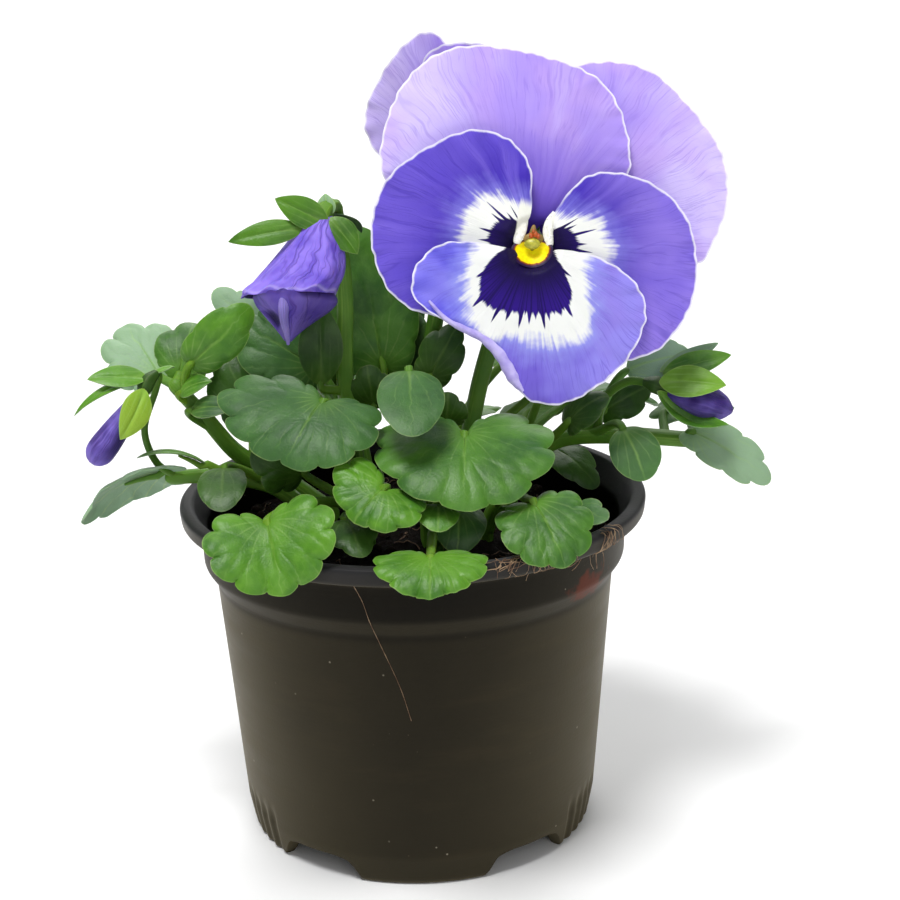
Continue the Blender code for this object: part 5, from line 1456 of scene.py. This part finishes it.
def make_litter(look):
    """Rootlets that hang over the rim at the right, and one long thread on the front."""
    dice = np.random.default_rng(5)
    threads = []
    for count, low, high, longest in ROOTLETS:
        for _ in range(count):
            bearing, way = low + (high - low) * dice.random(), 3.0 * dice.random()
            heading = 1.57 + 1.3 * (dice.random() - 0.5) * (2.2 if longest < 5 else 1.0)
            path = []
            for _ in range(int(4 + longest * (0.4 + 0.6 * dice.random()))):
                path.append(on_outside(bearing, way))
                heading += 0.22 * dice.normal()
                bearing += math.cos(heading) * 1.2
                way = max(way + 0.9 * math.sin(heading), 0.0)
            threads.append(tube(smooth_path(path, 3), 0.035 + 0.05 * dice.random() ** 3, 5))
    path = [on_outside(bearing, way) for bearing, way in LONG_THREAD]
    threads.append(tube(smooth_path(path, 8), 0.045, 5))
    add_piece("root_litter", joined(threads), look, "soil")


# Tones of a shoot's stem, and of a bud's stalk and its cup
STEM_TONE = (0.45, 0.15, 0.5, 1)
BUD_STALK = (0.45, 0.3, 0.4, 1)
BRIGHT_CUP = (0.75, 0.1, 0.5, 1)
DARK_CUP = (0.3, 0.3, 0.2, 1)

# The green parts of the buds, by the shoot that bears them. A stalk is its points with its first and
# last radius, a cup its points, radii and tone, and a sepal its base, tip, width, facing, arch and tone
BUD_GREENS = {
    "shoot_nodding": {
        "cup": (
            [(-12.4, 0, 122), (-13.2, -3, 123.2), (-14.6, -5.0, 122.4), (-15.2, -6.0, 121.0)],
            [1.2, 1.3, 1.8, 2.0], BRIGHT_CUP,
        ),
        "sepals": [
            ((-18.0, -8.6, 120.2), (-31.8, -10, 118.4), 4.7, (-0.1, -0.9, 0.4), 0.3, GREEN),
            ((-13.6, -8.2, 120.6), (-23.1, -8.2, 125.6), 5.5, (0.1, -0.95, 0.2), 0.3, GREEN),
            ((-13.6, -8.0, 121.8), (-8.6, -9.6, 115.4), 5.6, (0.3, -0.9, 0.3), 0.3, OLIVE),
            ((-14, -5.4, 121.4), (-14.2, -4, 125.6), 3.5, (0, -1, 0.1), 0.3, PALE),
            ((-13.6, -3.6, 122), (-8, 4.5, 117), 4.5, (0.3, 0.3, 0.9), 0.3, DEEP_IN_SHADE),
        ],
    },
    "shoot_left_low": {
        "stalk": (
            [(-44.6, -4.1, 72.6), (-48.4, -6, 76.2), (-50, -7, 83), (-47.6, -5, 90), (-46.6, -6, 93.2),
             (-48, -7.7, 93.2)],
            0.75, 0.55,
        ),
        "cup": ([(-46.9, -6.6, 93.7), (-48.4, -8.2, 92.6), (-49.0, -8.8, 91.5)], [0.8, 1.5, 1.5], DARK_CUP),
        "sepals": [
            ((-48.4, -8.6, 93.4), (-59.2, -10.5, 94), 5.2, (0, -0.6, 0.8), 0.2, BRIGHT),
            ((-49.4, -8.2, 92.8), (-62, -12, 87.6), 2.8, (-0.3, -0.4, 0.87), 0.5, BRIGHT),
            ((-48.8, -10.6, 91.8), (-53.2, -15.5, 83.6), 5.8, (0.5, -0.8, 0.25), 0.45, LIGHT),
            ((-47.4, -6.6, 93.6), (-43.7, -5, 94.6), 3, UP, 0.2, BRIGHT),
        ],
    },
    "shoot_right": {
        "stalk": ([(36, 1.2, 77), (37, 0, 84), (41, -3.5, 88.5), (45, -7.2, 89.2)], 0.9, 0.8),
        "cup": ([(44.0, -6.6, 89.2), (45.8, -7.8, 88.9), (47.0, -8.3, 88.4)], [0.9, 1.7, 1.6], DARK_CUP),
        "sepals": [
            ((46.2, -9.8, 90.0), (58.0, -13.6, 90.0), 6.4, (-0.2, -0.75, 0.6), 0.3, SUNNY),
            ((47.4, -5.8, 90.4), (60.2, -6, 93.8), 5.0, (-0.1, -0.8, 0.6), 0.2, BRIGHT),
            ((47.0, -4.6, 90.6), (58.2, -3.6, 95.6), 3.4, (-0.1, -0.9, 0.4), -0.3, PALE),
            ((45.8, -10.6, 88.6), (58.2, -16.4, 83.4), 5.0, (0.2, -0.6, 0.8), -0.95, BRIGHT, 0.5),
        ],
    },
}


def flower_greens(name):
    """The stalk, cup and sepals of what a shoot bears, as (stems, blades)."""
    if name == "shoot_bloom":
        return calyx(BLOOM)
    if name == "shoot_back_bloom":
        return calyx(BACK_BLOOM)
    if name not in BUD_GREENS:
        return [], []
    row = BUD_GREENS[name]
    stems = []
    if "stalk" in row:
        points, *radii = row["stalk"]
        path = smooth_path(points, 8)
        stems.append(tube(path, spread(radii, len(path)), 12, tone=BUD_STALK, ribs=3, rib_depth=0.06))
    points, radii, tone = row["cup"]
    path = smooth_path(points, 5)
    stems.append(tube(path, spread(radii, len(path)), 24, tone=tone, ribs=5, rib_depth=0.05))
    return stems, [sepal(*values) for values in row["sepals"]]


def make_shoots(leaf_green, stem_green):
    """Each shoot as two pieces: its stems and stalks, and its leaves and sepals."""
    for name, row in SHOOTS.items():
        (x, y), *rest = row["stem"]
        rising = smooth_path([(x, y, STEM_LEAVES_SOIL), *rest], 8)
        path = np.vstack([(x, y, STEM_FOOT), rising])
        radii = np.linspace(row["radius"] + 0.25, row["radius"] - 0.25, len(path))
        stems = [tube(path, radii, 20, tone=STEM_TONE, ribs=4, rib_depth=0.07)]
        blades = []
        for share, base, tip, width, facing, tone, more in row["leaves"]:
            start, heading = at_share(path, share)
            yellow, wax, light = tone
            stalk_tone = (yellow * 0.6 + 0.3, wax * 0.5, 0.3 + 0.18 * light, 1)
            taper, arch = more.get("taper", LEAF_TAPER), more.get("arch", LEAF_ARCH)
            stems.append(leaf_stalk(start, heading, base, tip, facing, taper, arch, stalk_tone))
            blades.append(leaf(base, tip, width, facing, tone=tone, **more))
        more_stems, more_blades = flower_greens(name)
        plain = name.replace("shoot_", "")
        add_piece("stems_" + plain, joined(stems + more_stems), stem_green, "leaf_green", [name])
        add_piece("leaves_" + plain, joined(blades + more_blades), leaf_green, "leaf_green", [name])


def closed_curve(points, share):
    """A smooth closed outline through the given points, read at shares of the way round."""
    loop = np.vstack([points[-1:], points, points[:2]])
    return points_at(smooth_path(loop, 16)[16:-16], share)


def petal_height(points, layer, drop):
    """Height of a petal's middle surface over the plane of the side petals, as in the part."""
    reach = np.hypot(points[:, 0], points[:, 1])
    sink = 1 - np.clip((reach - 1.7) / (CLAW_RING - 1.7), 0, 1)
    return layer - drop * sink - BOW * reach ** 2, sink


def curl_height(angle, curls):
    """How far curls lift a petal's edge at an angle. A curl is its angle, its spread and its rise."""
    return sum(rise * np.exp(-((off_angle(angle, toward) / wide) ** 2)) for toward, wide, rise in curls)


def petal(bloom, outline, heights, curls, around, rings, seed):
    """A petal of the part's form with a crinkled margin and soft folds along its veins."""
    length = ways(np.vstack([outline, outline[:1]]))[-1]
    centre = closed_curve(outline, np.linspace(0, 1, 60)[:-1]).mean(axis=0)

    def crinkle(share, pitch, offset):
        """Uneven waves along the margin, about pitch millimetres apart."""
        waves = length / pitch
        turn = 2 * math.pi * share
        fine = np.sin(round(waves * 1.7) * turn + 2.0 * offset + 1.3 * np.sin(5 * turn))
        return np.sin(round(waves) * turn + offset + 1.7 * np.sin(3 * turn + seed)) + 0.6 * fine

    def edge_at(share):
        points = closed_curve(outline, share)
        free = smooth(np.hypot(*points.T), 5.0, 11.0)
        return points + (points - centre) / 24 * (0.13 * crinkle(share, 4.2, seed) * free)[:, None]

    def lift(flat, way, scale):
        height, sink = petal_height(flat, *heights)
        reach = np.hypot(*flat.T)
        angle = np.degrees(np.arctan2(flat[:, 1], flat[:, 0]))
        height = height + curl_height(angle, curls) * scale ** 3 * (1 - sink)
        waves = 0.5 * crinkle(way, 7.5, seed + 1) * scale ** 7
        waves = waves + 0.3 * crinkle(way, 3.6, seed + 2) * scale ** 14
        folds = 0.22 * rough(columns(angle * 0.055, reach * 0.03, seed), 1.0, 2)
        folds = folds + 0.5 * rough(columns(*flat.T * 0.055, seed + 7), 1.0, 2) * scale
        return height + smooth(reach, 5.0, 12.0) * (RUFFLE * waves + folds)

    def flat_uv(flat):
        return flat / FLAT_SPAN + 0.5

    def paint(rim, side):
        return columns(rim / 10, side, 0.0, 1.0)

    place = bloom_axes(bloom)
    return blade(edge_at, centre, around, rings, lift, place, PETAL_BLADE, flat_uv, paint)


def spur(bloom):
    """The lip's spur, coloured like one place on the lip."""
    path = smooth_path(SPUR, 8)
    shape = tube(in_bloom(bloom, path), spread(SPUR_RADII, len(path)), 24, tone=(1, 1, 0, 1))
    shape.uv = np.tile((0.62, 0.38), (len(shape.verts), 1))
    return shape


# Points of the throat from its middle, each with a radius: the style's head, and the two bearded
# pads from the top down
STYLE = [
    (0, 0, -1.8, 0.4), (0, 0.05, -0.9, 0.5), (-0.05, 0.1, -0.3, 0.9), (-0.1, 0.15, 0.2, 1.05),
    (-0.1, 0.2, 0.6, 0.8), (-0.1, 0.22, 0.85, 0.25),
]
PADS = [
    [(-1.5, 5.0, -0.9, 0.7), (-1.85, 3.7, -0.75, 0.95), (-2.25, 2.2, -0.6, 1.0), (-2.8, 0.7, -0.35, 0.75)],
    [(4.1, 5.5, -0.9, 0.7), (3.1, 3.9, -0.55, 0.95), (2.65, 2.1, -0.55, 0.95), (2.95, 0.2, -0.35, 0.7)],
]

# Anthers as place across, top and height, and their orange tips as place across, place up and radius
ANTHERS = [(-0.75, 1.9, -0.35), (0.85, 1.8, -0.35), (0.05, 3.2, -0.5)]
ANTHER_TIPS = [(-0.35, 1.5, 0.42), (0.45, 1.75, 0.5), (0.95, 1.35, 0.4), (0.1, 2.25, 0.32)]
HAIRS = 150


def eye_cup(bloom):
    """The dished yellow cup of the eye, open in its middle for the style."""
    turns = whole_turn(EYE_SIDES)
    reach_up = np.where(np.sin(turns) < 0, EYE_BELOW, EYE_ABOVE)
    over_curl = 0.65 * np.exp(-(((turns - EYE_OVER_CURL) / 0.7) ** 2))
    verts, tone = [], []
    for side in (0.0, -EYE_THICK):
        for share in np.linspace(EYE_FRINGE, EYE_HOLE, EYE_RINGS):
            x = EYE_HALF_WIDTH * share * np.cos(turns) - 0.15
            y = reach_up * share * np.sin(turns) - 0.7
            tilt = (0.1 - 0.45 * np.sin(turns) + over_curl) * share ** 2
            dish = 1.2 * (1 - min(share, 1.0) ** 1.5)
            verts.append(np.column_stack([x, y, tilt - dish + side]))
            tone.append(columns(share, turns / (2 * math.pi), 0.0, 0.0))
    n = EYE_RINGS * EYE_SIDES
    quads = ring_quads(EYE_RINGS, EYE_SIDES)
    rim = rim_quads(EYE_SIDES, n)
    hole = rim[:, [0, 3, 2, 1]] + n - EYE_SIDES
    faces = np.vstack([quads, quads[:, ::-1] + n, rim, hole])
    return Shape(in_bloom(bloom, np.vstack(verts)), faces, tone=np.vstack(tone))


def style_head(bloom):
    """The style's round head, wider than deep."""
    steps = smooth_path(STYLE, 4)
    style = tube(steps[:, :3], np.maximum(steps[:, 3], 0.12), 28, round_end=False)
    style.verts = in_bloom(bloom, style.verts * (1.35, 0.95, 1))
    return style


def anthers(bloom):
    """The anthers that stand over the style, and their orange tips."""
    hood, tips = [], []
    for x, top, high in ANTHERS:
        rise = [(x * 0.7, 0.3, -1.9), (x * 1.3, 0.9, -0.9), (x, top * 0.7, high)]
        path = smooth_path([*rise, (x * 0.5 + 0.1, top, high - 0.3)], 5)
        radii = np.interp(np.linspace(0, 1, len(path)), [0, 0.45, 1], [0.7, 0.85, 0.35])
        hood.append(tube(in_bloom(bloom, path), radii, 16))
    for x, y, radius in ANTHER_TIPS:
        path = smooth_path([(x, y - 0.3, -0.3), (x, y, 0.1), (x, y + 0.35, -0.05)], 4)
        tips.append(tube(in_bloom(bloom, path), spread([0.6, 1, 0.7], len(path)) * radius, 12))
    return joined(hood), joined(tips)


def beards(bloom):
    """The flattened pads beside the throat, with short hairs on them."""
    dice = np.random.default_rng(7)
    parts = []
    for line in PADS:
        steps = smooth_path(line, 6)
        path, wide = steps[:, :3], steps[:, 3]
        pad = tube(path * (1, 1, 0), wide, 24)
        rise = np.interp(-pad.verts[:, 1], -path[:, 1], path[:, 2])
        pad.verts = in_bloom(bloom, pad.verts * (1, 1, 0.45) + columns(0.0, 0.0, rise))
        parts.append(pad)
        for _ in range(HAIRS):
            i = int(dice.integers(1, len(path) - 1))
            side = unit(np.cross(path[i + 1] - path[i - 1], (0, 0, 1)))
            lean = math.radians(35 + 110 * dice.random())
            out = side * math.cos(lean) + np.array([0, 0, 0.45]) * math.sin(lean)
            root = path[i] + out * wide[i] * 0.95
            tip = root + out * (0.12 + 0.16 * dice.random()) + dice.normal(size=3) * 0.05
            parts.append(tube(in_bloom(bloom, [root, (root + tip) / 2, tip]), [0.06, 0.055, 0.045], 6))
    return joined(parts)


def make_throat(bloom, prefix, looks):
    """The eye of a bloom: its cup, the style's head, the anthers and the bearded pads."""
    hood, tips = anthers(bloom)
    add_piece(prefix + "throat", eye_cup(bloom), looks["eye"], "throat_yellow", sharp=70)
    add_piece(prefix + "style", style_head(bloom), looks["style"], "throat_yellow", [prefix + "pistil"])
    add_piece(prefix + "anthers", hood, looks["anther"], "throat_yellow")
    add_piece(prefix + "anther_tips", tips, looks["anther_tip"], "throat_yellow")
    add_piece(prefix + "beards", beards(bloom), looks["beard"], "throat_yellow")


# The rolled margin of the lip: flat places, each with the roll's width
LIP_ROLL = [
    (-18.4, -9.6, 0.4), (-15.5, -12.8, 0.9), (-12.4, -14.6, 1.2), (-9.0, -16.4, 1.5), (-6.2, -19.0, 1.9),
    (-4.5, -21.8, 2.2), (-3.2, -24.2, 1.8), (-1.8, -26.0, 0.6),
]


def lip_roll(bloom):
    """The lip's lower left margin, rolled over so that its pale back shows."""
    steps = smooth_path(LIP_ROLL, 10)
    turns = whole_turn(20)
    rings = []
    for i, (x, y, width) in enumerate(steps):
        before, after = steps[max(i - 1, 0)], steps[min(i + 1, len(steps) - 1)]
        along = unit(after[:2] - before[:2])
        wide = width / 2 * (1 + 0.06 * math.sin(i * 0.8) + 0.05 * math.sin(i * 0.37))
        base = petal_height(np.array([[x, y]]), *LIP_HEIGHTS)[0]
        base = base + curl_height(math.degrees(math.atan2(y, x)), [LIP_CURL])
        out = wide * np.cos(turns)
        rise = 0.4 * wide * np.sin(turns) ** 2 + 0.16 * np.sin(turns) + 0.2
        rings.append(np.column_stack([x - along[1] * out, y + along[0] * out, base + rise]))
    shape = lathed(rings)
    shape.verts = in_bloom(bloom, shape.verts)
    return shape


# Petals of the open bloom and of the one behind it: name, outline, height over the plane of the side
# petals with the drop of the claw, curls, look and slot
PETALS = [
    ("upper_left", UPPER_LEFT, (-2.1, 1.8), [], "upper_left", "petal_lavender"),
    ("upper_right", UPPER_RIGHT, (-4.0, 0.9), [], "upper_right", "petal_lavender"),
    ("side_left", SIDE_LEFT, (0.0, 3.0), [(150, 35, 1.2)], "side_left", "petal_blue_violet"),
    ("side_right", SIDE_RIGHT, (0.0, 3.0), [(10, 35, 1.0)], "side_right", "petal_blue_violet"),
    ("lip", LIP, LIP_HEIGHTS, [LIP_CURL], "lip", "petal_blue_violet"),
]
BACK_PETALS = [
    ("upper_right", BACK_UPPER_RIGHT, (-2.1, 1.8), [], "back_upper", "petal_lavender"),
    ("upper_left", BACK_UPPER_LEFT, (-4.0, 0.9), [], "back_upper", "petal_lavender"),
    ("side_left", BACK_SIDE_LEFT, (0.0, 3.0), [], "side_left", "petal_blue_violet"),
    ("side_right", BACK_SIDE_RIGHT, (0.0, 3.0), [], "side_right", "petal_blue_violet"),
    ("lip", BACK_LIP, LIP_HEIGHTS, [], "lip", "petal_blue_violet"),
]

# Points round a petal, its rings, and the first petal's seed
PETAL_MESH = (240, 26, 0.0)
BACK_PETAL_MESH = (180, 20, 6.0)


def make_petals(bloom, prefix, petals, looks, around, rings, first_seed):
    """The five petals of a bloom, with the spur on the lip."""
    for i, (name, outline, heights, curls, look, slot) in enumerate(petals):
        shape = petal(bloom, outline, heights, curls, around, rings, first_seed + i)
        if name == "lip":
            shape = joined([shape, spur(bloom)])
        node = prefix + "petal_" + name
        add_piece(node + "_fine", shape, looks[look], slot, [node])


def make_blooms(looks):
    make_petals(BLOOM, "bloom_", PETALS, looks, *PETAL_MESH)
    add_piece("bloom_lip_roll", lip_roll(BLOOM), looks["roll"], "petal_lavender")
    make_throat(BLOOM, "bloom_", looks)
    make_petals(BACK_BLOOM, "back_bloom_", BACK_PETALS, looks, *BACK_PETAL_MESH)
    make_throat(BACK_BLOOM, "back_bloom_", looks)


# How dark the painted shadow is on a bud with a hollow, where it comes out from under its outer petals
HEM_SHADE = 0.72


def bud(base, tip, profile, depth, turn, sides, crisp=0.0, shade=0.0, dim=0.0, hollow=None):
    """A rolled bud: smooth rings along an axis, with three folds that wind round it.

    shade darkens all of it and dim paints shade on its +X side. hollow is a dent in its front, painted
    dark as shade: X and Z of its middle and half its width and height. With a hollow, the bud also gets
    a painted shadow under the outer petals.
    """
    base, tip = np.asarray(base, float), np.asarray(tip, float)
    axes = frame_of(tip - base, (0, -1, 0.2))
    angle = whole_turn(sides)
    away = np.cos(angle)[:, None] * axes[1] + np.sin(angle)[:, None] * axes[2]
    rings, uv, tone = [], [], []
    for share, radius in smooth_path(profile, 8):
        fold = np.cos(3 * angle + turn * share)
        wide = radius * (1 + depth * fold + crisp * np.sin(17 * angle + 6 * share + fold))
        ring = base + (tip - base) * share + wide[:, None] * away
        # dim paints shade on the +X side, fading towards the tip
        dark = shade + dim * smooth(away[:, 0] - 0.3 * away[:, 2], -0.1, 0.7) * smooth(share, 1.0, 0.7)
        if hollow:
            x, z, half_width, half_height = hollow
            off = ((ring[:, 0] - x) / half_width) ** 2 + ((ring[:, 2] - z) / half_height) ** 2
            # The dent is painted dark as shade, and a painted shadow lies under the hem
            dent = np.exp(-off ** 2) * (away[:, 1] < 0)
            ring = ring - away * (0.9 * dent)[:, None]
            dark = np.maximum(np.maximum(dark, dent), HEM_SHADE * smooth(share, 0.46, 0.26))
        rings.append(ring)
        uv.append(columns(angle / (2 * math.pi), share))
        tone.append(columns(dark, 0.0, 0.0, 1.0))
    return lathed(rings, uv, tone)


# The nodding bud's outer petals, as rings from the top to the hem and back up inside it:
# the ring's centre, half its width, half its depth, and how far its front is lifted
NODDING_SKIRT = [
    (-14.8, -6.6, 121.8, 1.8, 1.8, 0.0), (-15.6, -6.9, 120.2, 3.3, 3.2, 0.0),
    (-16.6, -7.8, 117.0, 5.4, 5.0, 0.05), (-17.8, -8.8, 114.0, 7.0, 6.6, 0.12),
    (-19.4, -9.8, 111.2, 8.2, 7.4, 0.22), (-21.2, -10.8, 109.0, 8.8, 7.9, 0.3),
    (-21.3, -10.9, 108.4, 8.5, 7.6, 0.3), (-21.2, -10.9, 108.9, 7.9, 7.1, 0.3),
    (-20.6, -10.4, 110.6, 6.9, 6.3, 0.28), (-19.4, -9.6, 113.0, 4.8, 4.6, 0.2),
]
SKIRT_STEPS = 8
HEM = 5 * SKIRT_STEPS


def bud_skirt(sides=144):
    """Petals rolled into a bell: rings with soft pleats, a crinkled hem and an inside painted dark as shade.
    """
    angle = whole_turn(sides)
    rings, uv, tone = [], [], []
    for i, (x, y, z, wide, deep, lift) in enumerate(smooth_path(NODDING_SKIRT, SKIRT_STEPS)):
        share = min(i / HEM, 2 - i / HEM)
        inside = smooth(i, HEM + 6, HEM + 14)
        pleat = 0.05 * np.cos(4 * angle + 1.4 + 1.5 * share) + 0.025 * np.cos(9 * angle + 3.0 * share)
        swell = 1 + share * (pleat + 0.012 * np.sin(23 * angle + 5 * share))
        hem = (0.35 * np.cos(7 * angle + 0.5) + 0.25 * np.cos(13 * angle)) * smooth(share, 0.75, 1.0)
        height = z - lift * deep * np.sin(angle) + hem
        across, ahead = wide * swell * np.cos(angle), deep * swell * np.sin(angle)
        rings.append(np.column_stack([x + across, y + ahead, height]))
        uv.append(columns(angle / (2 * math.pi), share))
        # The inside is painted near-black as shade; outside, the bell darkens towards its +X side
        dark = np.maximum(0.3 * smooth(np.cos(angle), 0.35, 0.95) * (1 - inside), 0.95 * inside)
        tone.append(columns(dark, 0.25 * smooth(share, 0.93, 1.0) * (1 - inside), 0.0, 1.0))
    return lathed(rings, uv, tone, flip=True)


# The inner petals of the nodding bud: profile as shares of the length with radii, the hollow in the
# front, and the fold that runs down from the hem, with its radii
INNER_PETALS = [(0.0, 5.0), (0.25, 7.4), (0.42, 6.8), (0.6, 4.8), (0.78, 2.7), (0.9, 1.5), (1.0, 0.6)]
HOLLOW = (-24.7, 105.0, 1.9, 2.3)
FOLD = [
    (-21.7, -16.4, 112.0), (-21.8, -18.1, 110.8), (-21.9, -18.4, 107.8), (-22.0, -16.9, 105.2),
    (-21.8, -14.8, 102.4), (-21.7, -13.7, 100.2),
]
FOLD_RADII = [0.3, 0.55, 0.85, 0.7, 0.45, 0.3]

# The closed buds: base, tip, profile as shares of the length with radii, and how dark they are, where
# dim is painted shade on the +X side
CLOSED_BUDS = {
    "left_bud": (
        (-49.4, -9.1, 91.0), (-59.1, -14, 78.7),
        [(0.05, 1.2), (0.3, 1.9), (0.6, 2.5), (0.85, 2.6), (0.96, 1.7), (1.0, 0.6)], {"dim": 0.8},
    ),
    "right_bud": (
        (47.6, -8.6, 88.1), (59.7, -12, 84.6),
        [(0.05, 1.4), (0.3, 2.6), (0.6, 3.2), (0.85, 2.3), (0.97, 0.9), (1.0, 0.3)], {"shade": 0.4},
    ),
}


def make_buds(looks):
    # The inner petals get painted shade on their +X side, in the hollow and under the hem
    inner = bud(
        (-20.5, -10.2, 111.2), (-21.7, -13.4, 100.6), INNER_PETALS, 0.13, 2.2, 96,
        shade=0.38, dim=0.2, hollow=HOLLOW,
    )
    path = smooth_path(FOLD, 6)
    fold = tube(path, spread(FOLD_RADII, len(path)), 20, tone=(0, 0.2, 0, 1), ribs=2, rib_depth=0.15)
    shape = joined([bud_skirt(), inner, fold])
    add_piece("nodding_bud_fine", shape, looks["bud"], "petal_blue_violet", ["nodding_bud_petals"])
    for name, (base, tip, profile, tones) in CLOSED_BUDS.items():
        shape = bud(base, tip, profile, 0.06, 2.5, 60, crisp=0.01, **tones)
        add_piece(name + "_fine", shape, looks["dark_bud"], "petal_blue_violet", [name + "_petals"])


# The floor in metres: half its width, how far it comes to the front, where it starts to curve up and
# with what radius, and how high it goes
STAGE_HALF = 2.2
STAGE_FRONT = -1.6
STAGE_CURVE_FROM = 0.9
STAGE_CURVE = 0.6
STAGE_TOP = 2.6


def make_stage():
    """A pale floor that curves up into a backdrop, under a dim white sky."""
    line = [(STAGE_FRONT, 0.0)]
    for a in np.linspace(0, math.pi / 2, 24):
        line.append((STAGE_CURVE_FROM + STAGE_CURVE * math.sin(a), STAGE_CURVE * (1 - math.cos(a))))
    line.append((STAGE_CURVE_FROM + STAGE_CURVE, STAGE_TOP))
    verts = [(x, y, z) for y, z in line for x in (-STAGE_HALF, STAGE_HALF)]
    faces = [(2 * i, 2 * i + 1, 2 * i + 3, 2 * i + 2) for i in range(len(line) - 1)]
    mesh = bpy.data.meshes.new("studio_floor")
    mesh.from_pydata(verts, [], faces)
    mesh.shade_smooth()
    floor = bpy.data.objects.new("studio_floor", mesh)
    bpy.context.scene.collection.objects.link(floor)
    white = Graph("studio_white", base_color=(0.93, 0.93, 0.93, 1), roughness=0.9)
    floor.data.materials.append(white.material)
    world = bpy.data.worlds.new("studio")
    bpy.context.scene.world = world
    world.use_nodes = True
    sky = world.node_tree.nodes["Background"]
    sky.inputs["Color"].default_value = (1, 1, 1, 1)
    sky.inputs["Strength"].default_value = 0.3


# Lights in metres: name, place, what it is aimed at, size and power
LIGHTS = [
    ("key", (-0.2, -0.35, 1.15), (0, 0, 0.08), 0.45, 11.5),
    ("fill", (0.3, -1.0, 0.55), (0, 0, 0.09), 0.8, 2.2),
    ("back", (0.1, 0.9, 0.9), (0, 0.1, 0.05), 0.9, 5.0),
    ("backdrop", (0, 0.7, 1.3), (0, 1.5, 0.5), 0.9, 6.0),
]


def make_lights():
    for name, at, aim, size, power in LIGHTS:
        light = bpy.data.lights.new(name, "AREA")
        light.shape = "DISK"
        light.size = size
        light.energy = power
        made = bpy.data.objects.new(name, light)
        made.location = at
        made.rotation_euler = (Vector(aim) - Vector(at)).to_track_quat("-Z", "Y").to_euler()
        bpy.context.scene.collection.objects.link(made)


# The camera, which looks at the pot's axis at a height: degrees down and of roll, its distance, and
# the pixel of the photo where that place lies
CAMERA_DOWN = 19.03
CAMERA_ROLL = -1.73
CAMERA_DISTANCE = 352.2
CAMERA_AIM_HEIGHT = 60.0
CAMERA_AIM_PIXEL = (413.5, 525.1)
PHOTO_SIZE = 900
SENSOR = 36.0
LENS = 72.0


def make_camera():
    down, roll = math.radians(CAMERA_DOWN), math.radians(CAMERA_ROLL)
    back = np.array([0.0, -math.cos(down), math.sin(down)])
    at = np.array(POT_AT) + (0, 0, CAMERA_AIM_HEIGHT) + back * CAMERA_DISTANCE
    right = np.array([1.0, 0.0, 0.0])
    up = np.cross(back, right)
    across = math.cos(roll) * right + math.sin(roll) * up
    upward = -math.sin(roll) * right + math.cos(roll) * up
    lens = bpy.data.cameras.new("camera")
    lens.sensor_width = SENSOR
    lens.lens = LENS
    lens.shift_x = (PHOTO_SIZE / 2 - CAMERA_AIM_PIXEL[0]) / PHOTO_SIZE
    lens.shift_y = -(PHOTO_SIZE / 2 - CAMERA_AIM_PIXEL[1]) / PHOTO_SIZE
    lens.clip_start = 0.01
    camera = bpy.data.objects.new("camera", lens)
    turn = Matrix(np.column_stack([across, upward, back]).tolist())
    camera.matrix_world = Matrix.Translation(Vector(at * MM)) @ turn.to_4x4()
    bpy.context.scene.collection.objects.link(camera)
    bpy.context.scene.camera = camera


def main():
    make_camera()
    make_stage()
    make_lights()
    bpy.context.scene.view_settings.view_transform = "Standard"
    make_pot(plastic_look())
    make_soil(
        soil_look("soil_dark", srgb(7, 5, 3), srgb(19, 13, 9)),
        soil_look("soil_crumb", srgb(15, 10, 7), srgb(36, 25, 17)),
        plain_look("root_fibre", srgb(96, 72, 50), srgb(60, 44, 30), 0.8, 0.7),
    )
    make_litter(plain_look("root_litter", srgb(168, 140, 108), srgb(98, 66, 44), 0.5, 0.6))
    make_shoots(leaf_look(), stem_look())
    looks = {
        "upper_left": upper_petal_look("petal_upper_left", 1.0, 0.0, -24.0),
        "upper_right": upper_petal_look("petal_upper_right", 2.0, 8.0, 30.0),
        "back_upper": upper_petal_look("petal_back_upper", 11.0, 0.0, 17.0),
        "side_left": side_petal_look("petal_side_left", 3.0, "left"),
        "side_right": side_petal_look("petal_side_right", 4.0, "right"),
        "lip": lip_look(),
        "roll": plain_look("lip_roll_lilac", srgb(196, 186, 238), srgb(166, 152, 224), 0.5, 0.5, 0.1),
        "eye": eye_look(),
        "style": plain_look("style_green", srgb(196, 190, 62), srgb(150, 150, 44), 1.2, 0.35),
        "anther": plain_look("anther_tan", srgb(150, 122, 62), srgb(118, 96, 40), 0.9, 0.5),
        "anther_tip": plain_look("anther_orange", srgb(202, 78, 16), srgb(164, 84, 30), 0.9, 0.45),
        "beard": plain_look("beard_white", srgb(252, 252, 248), srgb(244, 244, 232), 2.0, 0.5),
        "bud": bud_look("bud_violet", srgb(140, 116, 224), srgb(104, 80, 200), 0.6),
        "dark_bud": bud_look("bud_dark", srgb(116, 98, 190), srgb(62, 42, 120), 0.25),
    }
    make_blooms(looks)
    make_buds(looks)
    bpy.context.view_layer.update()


main()
